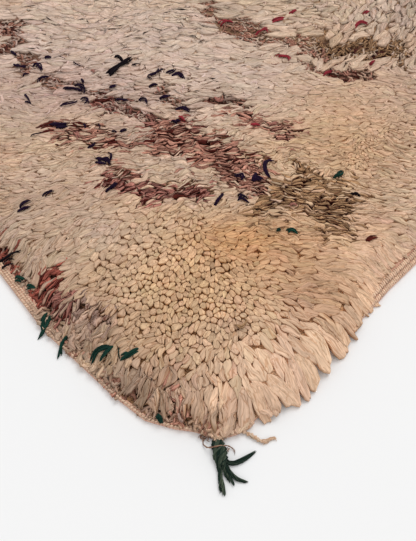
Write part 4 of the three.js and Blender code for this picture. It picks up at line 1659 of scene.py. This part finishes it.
# %% Brown bands
x, y = roots(6.2 * MM, 0.3)
seen = in_view(x, y) & in_band(x, y)
x, y = x[seen], y[seen]
thinned = ~shown_large(x, y) | meets_edge(x, y) | (random.uniform(0, 1, len(x)) < 0.5)
x, y = x[thinned], y[thinned]
strands = plant(x, y, wide_scale=0.86, length_scale=0.9, wave_scale=1.2)
coloured = dye_bands(strands)
strands["layer"][coloured] -= 0.4 * MM
strands["curl"] = strands["curl"] + random.normal(0, 0.4, len(x))
grow("band_cream_strands", curly_lock, pick(strands, ~coloured), pile_wool)
grow("band_brown_strands", curly_lock, pick(strands, coloured), brown_wool)

# %% [markdown]
# ## Stray dyed knots
#
# Here and there the weaver tied in a few strands of dyed yarn, purple, red, green or black.
# They are thinner than the locks and lie loosely on top. Each is drawn as its own route over
# the picture and then laid on the pile, so it touches the wool from every side.

# %% Routes of the dyed strands
# Shade, strands side by side, width of one in mm, and the pixels that it passes.
knots = [
    ("purple", 3, 2.0, [(8, 50), (12, 54), (16, 56)]),
    ("purple", 3, 2.0, [(14, 62), (20, 67), (29, 66)]),
    ("purple", 4, 2.2, [(31, 67), (38, 64), (41, 67), (42, 72)]),
    ("purple", 2, 2.0, [(44, 58), (47, 57), (53, 57)]),
    ("purple", 2, 1.8, [(22, 76), (30, 74)]),
    ("purple", 3, 2.0, [(37, 80), (42, 77), (49, 77)]),
    ("purple", 1, 1.6, [(74, 61), (80, 65), (86, 66)]),
    ("purple", 4, 2.0, [(62, 87), (70, 88), (78, 89), (82, 92)]),
    ("purple", 3, 2.0, [(74, 83), (82, 85), (85, 90), (83, 94)]),
    ("purple", 2, 2.2, [(81, 79), (84, 83)]),
    ("maroon", 2, 1.8, [(91, 70), (96, 72)]),
    ("purple", 2, 1.7, [(22, 93), (28, 99), (32, 105)]),
    ("purple", 1, 1.6, [(22, 102), (32, 104)]),
    ("purple", 2, 1.7, [(58, 105), (66, 104), (74, 102), (78, 99)]),
    ("purple", 2, 1.8, [(80, 99), (86, 99), (90, 102), (85, 104)]),
    ("maroon", 1, 1.6, [(91, 102), (98, 103), (105, 106)]),
    ("purple", 2, 1.6, [(109, 87), (113, 88), (119, 86)]),
    ("black", 5, 2.4, [(105, 76), (113, 70), (119, 66), (127, 61), (133, 55)]),
    ("black", 4, 2.2, [(113, 56), (119, 57), (123, 62)]),
    ("black", 2, 1.6, [(131, 64), (139, 65)]),
    ("purple", 4, 2.2, [(116, 99), (122, 100), (128, 101)]),
    ("purple", 2, 1.8, [(137, 102), (141, 100), (146, 101), (149, 105)]),
    ("purple", 3, 2.0, [(157, 65), (158, 69), (153, 73), (147, 75), (153, 79)]),
    ("purple", 2, 1.8, [(164, 74), (171, 72), (175, 69)]),
    ("purple", 3, 2.0, [(171, 77), (179, 73), (184, 80)]),
    ("purple", 3, 2.0, [(150, 85), (158, 84)]),
    ("maroon", 1, 1.8, [(158, 86), (160, 92)]),
    ("purple", 4, 2.2, [(159, 98), (165, 97), (170, 95)]),
    ("purple", 4, 2.2, [(176, 109), (182, 108), (186, 109), (191, 113)]),
    ("red", 2, 1.8, [(178, 115), (186, 121)]),
    ("purple", 4, 2.2, [(174, 120), (179, 122)]),
    ("purple", 4, 2.2, [(48, 123), (58, 125), (69, 124)]),
    ("purple", 3, 2.0, [(54, 127), (60, 128), (68, 126)]),
    ("purple", 2, 1.8, [(83, 121), (87, 125), (84, 127)]),
    ("purple", 1, 1.8, [(97, 124), (100, 127), (98, 130)]),
    ("purple", 1, 1.6, [(29, 136), (37, 134), (44, 132)]),
    ("maroon", 3, 2.0, [(74, 131), (78, 134), (80, 139)]),
    ("purple", 2, 1.8, [(111, 131), (117, 132)]),
    ("purple", 2, 1.8, [(119, 133), (128, 130)]),
    ("purple", 3, 2.0, [(88, 146), (93, 145), (97, 142)]),
    ("maroon", 2, 1.8, [(137, 144), (144, 145), (150, 146)]),
    ("purple", 5, 2.4, [(95, 158), (101, 160), (106, 159), (110, 166)]),
    ("purple", 4, 2.4, [(95, 161), (101, 163), (107, 163)]),
    ("purple", 2, 2.0, [(110, 160), (112, 157), (107, 152)]),
    ("purple", 3, 2.0, [(105, 193), (112, 188), (119, 182)]),
    ("purple", 3, 1.8, [(42, 198), (50, 193), (56, 189)]),
    ("purple", 3, 1.8, [(16, 211), (24, 209), (31, 207)]),
    ("purple", 2, 1.6, [(17, 208), (26, 203), (34, 200)]),
    ("black", 2, 1.7, [(-4, 266), (3, 261), (14, 254), (24, 250)]),
    ("black", 2, 1.6, [(0, 268), (8, 263), (14, 262)]),
    ("green", 4, 2.2, [(16, 277), (20, 279), (25, 281)]),
    ("green", 3, 2.0, [(27, 287), (31, 287), (36, 287)]),
    ("green", 3, 2.0, [(48, 311), (44, 318), (42, 326), (42, 333)]),
    ("green", 3, 2.0, [(49, 312), (49, 321), (45, 331), (38, 341)]),
    ("green", 2, 2.0, [(69, 333), (63, 342), (60, 350), (60, 359)]),
    ("green", 2, 2.2, [(116, 344), (105, 347), (96, 354), (90, 365)]),
    ("green", 2, 2.0, [(114, 346), (108, 353), (102, 363)]),
    ("green", 1, 1.6, [(118, 348), (119, 354), (121, 360)]),
    ("green", 1, 1.6, [(128, 348), (123, 353), (119, 357)]),
    ("green", 2, 2.2, [(144, 346), (134, 351), (125, 358), (117, 365)]),
    ("green", 1, 1.8, [(140, 349), (130, 356), (124, 361)]),
    ("green", 4, 2.4, [(158, 412), (162, 416), (165, 420)]),
    ("mauve", 3, 2.0, [(179, 416), (182, 421)]),
    ("purple", 2, 1.8, [(212, 207), (218, 199), (225, 190)]),
    ("purple", 3, 2.0, [(235, 199), (240, 198), (244, 194)]),
    ("purple", 2, 1.8, [(238, 196), (248, 201)]),
    ("purple", 4, 2.2, [(251, 180), (257, 179), (263, 181)]),
    ("maroon", 3, 2.0, [(289, 206), (294, 205), (299, 207)]),
    ("black", 2, 1.8, [(349, 193), (355, 194), (360, 196)]),
    ("green", 2, 2.0, [(276, 229), (280, 230)]),
    ("green", 4, 1.8, [(286, 230), (292, 230), (298, 232)]),
    ("dark", 3, 1.8, [(364, 241), (370, 238), (375, 236)]),
    ("red", 3, 2.0, [(220, 22), (228, 21), (235, 23)]),
    ("red", 4, 2.0, [(271, 21), (279, 19), (286, 17)]),
    ("red", 2, 2.0, [(290, 14), (298, 10)]),
    ("red", 3, 1.8, [(254, 35), (260, 32), (265, 29), (268, 35)]),
    ("red", 3, 2.0, [(276, 55), (283, 56), (289, 57), (291, 62)]),
    ("red", 3, 2.0, [(322, 75), (328, 73), (333, 71)]),
    ("red", 2, 2.0, [(364, 15), (370, 11)]),
    ("red", 4, 2.2, [(354, 28), (360, 23), (370, 25)]),
    ("red", 3, 2.0, [(370, 64), (376, 60)]),
    ("maroon", 4, 2.0, [(214, 97), (219, 102), (223, 99)]),
    ("mauve", 3, 2.0, [(223, 99), (230, 99), (237, 99)]),
    ("red", 3, 2.0, [(251, 125), (261, 126)]),
    ("maroon", 3, 1.8, [(268, 125), (278, 123)]),
    ("purple", 3, 2.2, [(278, 161), (268, 161), (264, 167), (266, 174), (272, 180)]),
    ("purple", 2, 2.0, [(233, 171), (236, 176), (243, 176), (241, 181)]),
    ("purple", 2, 2.2, [(258, 171), (254, 178), (257, 180)]),
    ("green", 4, 2.4, [(335, 177), (340, 174), (344, 171)]),
    ("olive", 2, 1.6, [(232, 322), (240, 326), (246, 321), (240, 318)]),
]

# %% A smooth route
strand_lock = lock_kind(6, [0, 0.1, 0.2, 0.35, 0.5, 0.65, 0.8, 0.9, 1])
strand_steps, ply_steps = 40, 60  # along each dyed strand and along each ply


def smooth_route(points, steps):
    """A smooth curve through a few points, as evenly spaced places."""
    points = np.asarray(points, dtype=float)
    padded = np.vstack([2 * points[0] - points[1], points, 2 * points[-1] - points[-2]])
    places = []
    for i in range(1, len(padded) - 2):
        a, b, c, d = padded[i - 1:i + 3]
        for t in np.linspace(0, 1, 12, endpoint=False):
            places.append(0.5 * (2 * b + (c - a) * t + (2 * a - 5 * b + 4 * c - d) * t ** 2
                                 + (3 * b - a - 3 * c + d) * t ** 3))
    places.append(points[-1])
    places = np.array(places)
    lengths = np.linalg.norm(np.diff(places, axis=0), axis=1)
    distances = np.concatenate([[0], np.cumsum(lengths)])
    return read_along(np.linspace(0, distances[-1], steps + 1), distances, places)


def along_routes(kind, routes, wides, shades, taper=0.35, flatness=0.8):
    """Corners, tints and fibre places of strands that follow routes given in metres."""
    levels = kind["levels"]
    routes = np.array(routes)
    at = np.round(levels * (routes.shape[1] - 1)).astype(int)
    ahead = np.gradient(routes, axis=1)
    ahead /= np.linalg.norm(ahead, axis=-1, keepdims=True) + 1e-12
    side = np.cross(np.array([0, 0, 1.0]), ahead)
    side /= np.linalg.norm(side, axis=-1, keepdims=True) + 1e-12
    up = np.cross(ahead, side)
    centre, side, up = routes[:, at], side[:, at], up[:, at]
    radius = np.sin(math.pi * (0.12 + 0.88 * levels)) ** taper
    radius[-1] = 0
    wide = np.asarray(wides)[:, None] * radius[None, :] / 2
    wide = wide * random.uniform(0.85, 1.15, wide.shape)
    ring, corners = kind["ring"], kind["corners"]
    points = centre[:, ring] + side[:, ring] * (corners[:, 0] * wide[:, ring])[..., None]
    points += up[:, ring] * (corners[:, 1] * wide[:, ring])[..., None] * flatness
    tint = np.asarray(shades)[:, None, :] * np.ones((1, len(corners), 1))
    lengths = np.linalg.norm(np.diff(routes, axis=1), axis=-1).sum(axis=1)
    return points, tint, fibre_places(kind, np.asarray(wides), lengths)


# %% Lay the dyed strands
routes, wides, shades = [], [], []
for name, strands_here, width, seen_line in knots:
    on_pile = []
    for pixel_x, pixel_y in seen_line:
        place = spot(pixel_x, pixel_y, 0.020)
        for _ in range(3):  # the height and the place depend on each other
            top = float(look_up(softened, np.array([place.x]), np.array([place.y]))[0])
            place = spot(pixel_x, pixel_y, top + 1 * MM)
        on_pile.append([place.x, place.y])
    for _ in range(strands_here):
        jitter = random.normal(0, 1.4, 2) * MM + random.normal(0, 1.2, (len(on_pile), 2)) * MM
        line = smooth_route(np.array(on_pile) + jitter, strand_steps)
        reach_from = random.uniform(0, 0.12)
        reach_to = random.uniform(0.82, 1.0)
        at = np.linspace(reach_from, reach_to, strand_steps + 1) * strand_steps
        line = read_along(at, np.arange(strand_steps + 1), line)
        top = look_up(softened, line[:, 0], line[:, 1])
        share = np.linspace(0, 1, strand_steps + 1)
        lift = (0.6 + 1.6 * np.sin(math.pi * share) + random.uniform(-0.4, 0.8)) * MM
        dip = 5 * MM * np.clip(1 - share / 0.15, 0, 1)  # its root goes down into the pile
        z = np.maximum(top + lift - dip, width * 0.45 * MM)
        routes.append(np.column_stack([line, z]))
        wides.append(1.45 * width * random.uniform(0.7, 1.25) * MM)
        shades.append(wool[name] * random.uniform(0.75, 1.3))
points, tint, fibre = along_routes(strand_lock, routes, wides, shades)
dyed_knots = join_copies("dyed_knots", strand_lock, points, tint, fibre, dyed_wool)
pile_pieces.append(declare(dyed_knots))

# %% [markdown]
# ## The tassel and the loose yarns
#
# At the corner hangs a small tassel of dark green yarn, tied on with a thin undyed thread,
# and beside it the selvedge's own cord ends in a frayed curl. In CAD each is a solid with
# the yarn's route and width. Here the same routes, in millimetres, are filled with thin
# plies that twist round one another and end unevenly, as cut yarn does.

# %% Routes from the CAD, in millimetres: x, y, width, height, underside
tassel_routes = {
    "bundle": [(441, -1149, 9, 6, 0), (446, -1153, 12, 8, 0), (454, -1158, 13, 8, 0),
               (461, -1163, 10, 6, 0), (465, -1165, 6, 4, 0)],
    "longest": [(456, -1162, 5, 4, 0), (461, -1166, 4.5, 4, 0), (465, -1168.5, 3.6, 3.4, 0),
                (469, -1172, 3.8, 3, 0), (476, -1176.5, 5.6, 3, 0), (481, -1180, 6, 3, 0),
                (484.5, -1184, 3, 2, 0)],
    "middle": [(455, -1159, 5, 4, 0), (464, -1162, 5, 4, 0), (469, -1164.5, 5, 3.6, 0),
               (475, -1166, 4.5, 3.2, 0), (480, -1167, 4, 3, 0), (484, -1167.5, 2.5, 2, 0)],
    "curled": [(457, -1157, 5, 4, 0), (465, -1160.5, 4, 4, 0), (473, -1162, 4, 3.4, 0),
               (480, -1161, 3.5, 3, 0), (485, -1158.5, 2.8, 2.4, 0), (491, -1155, 1.5, 1.4, 0)],
    "upturned": [(452, -1154, 5, 4, 0), (459, -1157, 4.5, 4, 0), (464, -1156.5, 4, 3.6, 0),
                 (468, -1153, 4, 3.4, 0), (470.5, -1147.5, 4.4, 3.2, 0),
                 (472.5, -1140, 4, 3, 0), (473.5, -1134, 3, 2.4, 0), (474.5, -1128, 1.5, 1.4, 0)],
}
plies_in = {"bundle": 14, "longest": 7, "middle": 6, "curled": 5, "upturned": 6}
tie_route = [
    (428, -1154, 1.8, 1.6, 0), (431, -1160, 1.8, 1.6, 0), (435.5, -1162.5, 1.8, 1.6, 0.6),
    (440, -1162, 1.8, 1.6, 3.2), (443.5, -1159.5, 1.8, 1.6, 7), (447, -1154.5, 1.8, 1.6, 8.2),
    (450, -1149.5, 1.8, 1.6, 6.6), (452.5, -1146, 1.8, 1.6, 3), (455.5, -1143.5, 1.8, 1.6, 0.6),
    (458.5, -1143.5, 1.8, 1.6, 0), (462, -1146, 1.6, 1.4, 0), (465, -1149, 1.4, 1.2, 0),
]
cord_end_route = [
    (450, -1125, 6, 4.4, 0), (456, -1123, 6, 4.4, 0), (462, -1121, 5.5, 4.2, 0),
    (466, -1120, 5, 4, 0), (469.5, -1119, 4.4, 3.6, 0), (472.5, -1117.5, 3.6, 3, 0),
    (474.5, -1114.5, 2.8, 2.4, 0), (475.5, -1110.5, 2.2, 2, 0), (477, -1107, 2, 1.8, 0),
    (479.5, -1105.5, 1.8, 1.6, 0), (482, -1106, 1.4, 1.2, 0),
]
ply_lock = lock_kind(6, [0, 0.05, 0.1, 0.2, 0.3, 0.4, 0.5, 0.6, 0.7, 0.8, 0.9, 0.95, 1])


# %% Fill a route with plies
def ply_routes(table, plies, turns, spread=0.6, uneven=0.12, girth=1.0):
    """Routes and widths of the plies that together fill one yarn of the CAD."""
    smooth = smooth_route(table, ply_steps)
    made, widths = [], []
    for ply in range(plies):
        end = ply_steps * (1 - random.uniform(0, uneven))
        at = np.linspace(0, end, ply_steps + 1)
        x, y, wide, high, under = read_along(at, np.arange(ply_steps + 1), smooth).T
        ahead = np.stack([np.gradient(x), np.gradient(y)], axis=-1)
        ahead /= np.linalg.norm(ahead, axis=-1, keepdims=True) + 1e-12
        angle = 2 * math.pi * (ply / plies + turns * at / ply_steps) + random.uniform(-0.3, 0.3)
        ring = 0.0 if plies > 4 and ply == 0 else spread
        out = np.cos(angle) * ring * wide / 2
        lift = np.sin(angle) * ring * high / 2
        ply_wide = 1.25 * girth * wide.max() / (1 + math.sqrt(plies))
        z = np.maximum(under + high / 2 + lift, ply_wide * 0.42)
        made.append(np.column_stack([x - ahead[:, 1] * out, y + ahead[:, 0] * out, z]) * MM)
        widths.append(ply_wide * MM)
    return made, widths


# %% A piece of plied yarns
def yarn_piece(name, node, parts, shade, paler):
    """A piece made of plied yarns that stands for one CAD node."""
    made, widths = [], []
    for table, *way in parts:
        some, wide = ply_routes(table, *way)
        made += some
        widths += wide
    mix = random.uniform(0, 1, (len(made), 1)) ** 2.2
    points, tint, fibre = along_routes(ply_lock, made, widths, blend(shade, paler, mix),
                                       taper=0.25, flatness=0.9)
    points[..., 2] = np.maximum(points[..., 2], least_height)
    piece = declare(join_copies(name, ply_lock, points, tint, fibre, yarn_wool))
    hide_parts(node)
    pile_pieces.append(piece)


tassel_parts = [(table, plies_in[name], 0.5, 0.75, 0.2)
                for name, table in tassel_routes.items()]
# Loose fibres stand off each strand and end at different lengths.
tassel_parts += [(table, 5, 1.3, 1.1, 0.5, 0.35) for table in tassel_routes.values()]
yarn_piece("tassel_yarns", "corner_tassel", tassel_parts,
           linear("#10281F"), linear("#5C6755"))
tie_parts = [(tie_route, 2, 4.0)]
for x, y in ((430, -1155), (433, -1158), (436, -1156), (453, -1150), (456, -1148)):
    for _ in range(3):  # fibres that have tangled on both sides of the tassel's head
        wandering = np.array([x, y]) + np.cumsum(random.normal(0, 1.7, (6, 2)), axis=0)
        heights = random.uniform(0, 4, 6)
        tie_parts.append(([(a, b, 1.3, 1.1, h) for (a, b), h in zip(wandering, heights)], 1, 0.0))
yarn_piece("tie_yarn", "tassel_tie", tie_parts,
           linear("#7C5846"), linear("#BC9880"))
cord_parts = [(cord_end_route, 4, 5.0), (cord_end_route[5:], 4, 1.0, 1.4, 0.6, 0.6)]
yarn_piece("cord_end_yarn", "selvedge_cord_end", cord_parts,
           linear("#DDB594"), linear("#F0D6BC"))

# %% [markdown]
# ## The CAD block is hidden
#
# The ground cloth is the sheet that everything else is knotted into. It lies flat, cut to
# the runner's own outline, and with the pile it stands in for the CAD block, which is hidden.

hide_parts("runner")
triangles = sum(len(face.vertices) - 2 for piece in pile_pieces for face in piece.data.polygons)
print("triangles in the pile pieces:", triangles)

# %% [markdown]
# ## Floor, light and camera settings
#
# The studio is a pale, even floor with soft light from all round and one broad, soft light
# from above, behind the runner and to its right, which gives each lock a lit and a shaded
# side.

# %% Floor
floor_shape = bmesh.new()
bmesh.ops.create_grid(floor_shape, x_segments=1, y_segments=1, size=15)
bmesh.ops.translate(floor_shape, verts=floor_shape.verts[:], vec=(0, 0, -0.3 * MM))
paint, tree = new_material("pale_floor_paint")
cloud = add_noise(tree, add_node(tree, "ShaderNodeTexCoord"), 0.7, 1.0)  # clouds over 1.4 m
pale = add_node(tree, "ShaderNodeMix", {"data_type": "RGBA"},
                inputs={6: (0.875, 0.875, 0.875, 1), 7: (0.885, 0.885, 0.885, 1)},
                links={0: cloud.outputs["Fac"]})
matt = add_node(tree, "ShaderNodeBsdfPrincipled",
                inputs={"Roughness": 1.0, "Specular IOR Level": 0.0},
                links={"Base Color": pale.outputs[2]})
add_node(tree, "ShaderNodeOutputMaterial", links={"Surface": matt.outputs["BSDF"]})
floor = made_from("floor", floor_shape, paint)

# %% Light
world = bpy.data.worlds.new("studio")
world.use_nodes = True
sky = world.node_tree.nodes["Background"].inputs
sky["Color"].default_value = (1, 1, 1, 1)
sky["Strength"].default_value = 0.75
bpy.context.scene.world = world
lamp_data = bpy.data.lights.new("soft_lamp", "SUN")
lamp_data.energy = 1.10
lamp_data.angle = math.radians(36)
lamp = add_object("soft_lamp", lamp_data)
light_from = (rightwards * 0.35 + over_floor * 0.53 + Vector((0, 0, 1.0))).normalized()
lamp.rotation_euler = light_from.to_track_quat("Z", "Y").to_euler()
bpy.context.scene.view_settings.view_transform = "Standard"
bpy.context.scene.view_settings.look = "None"
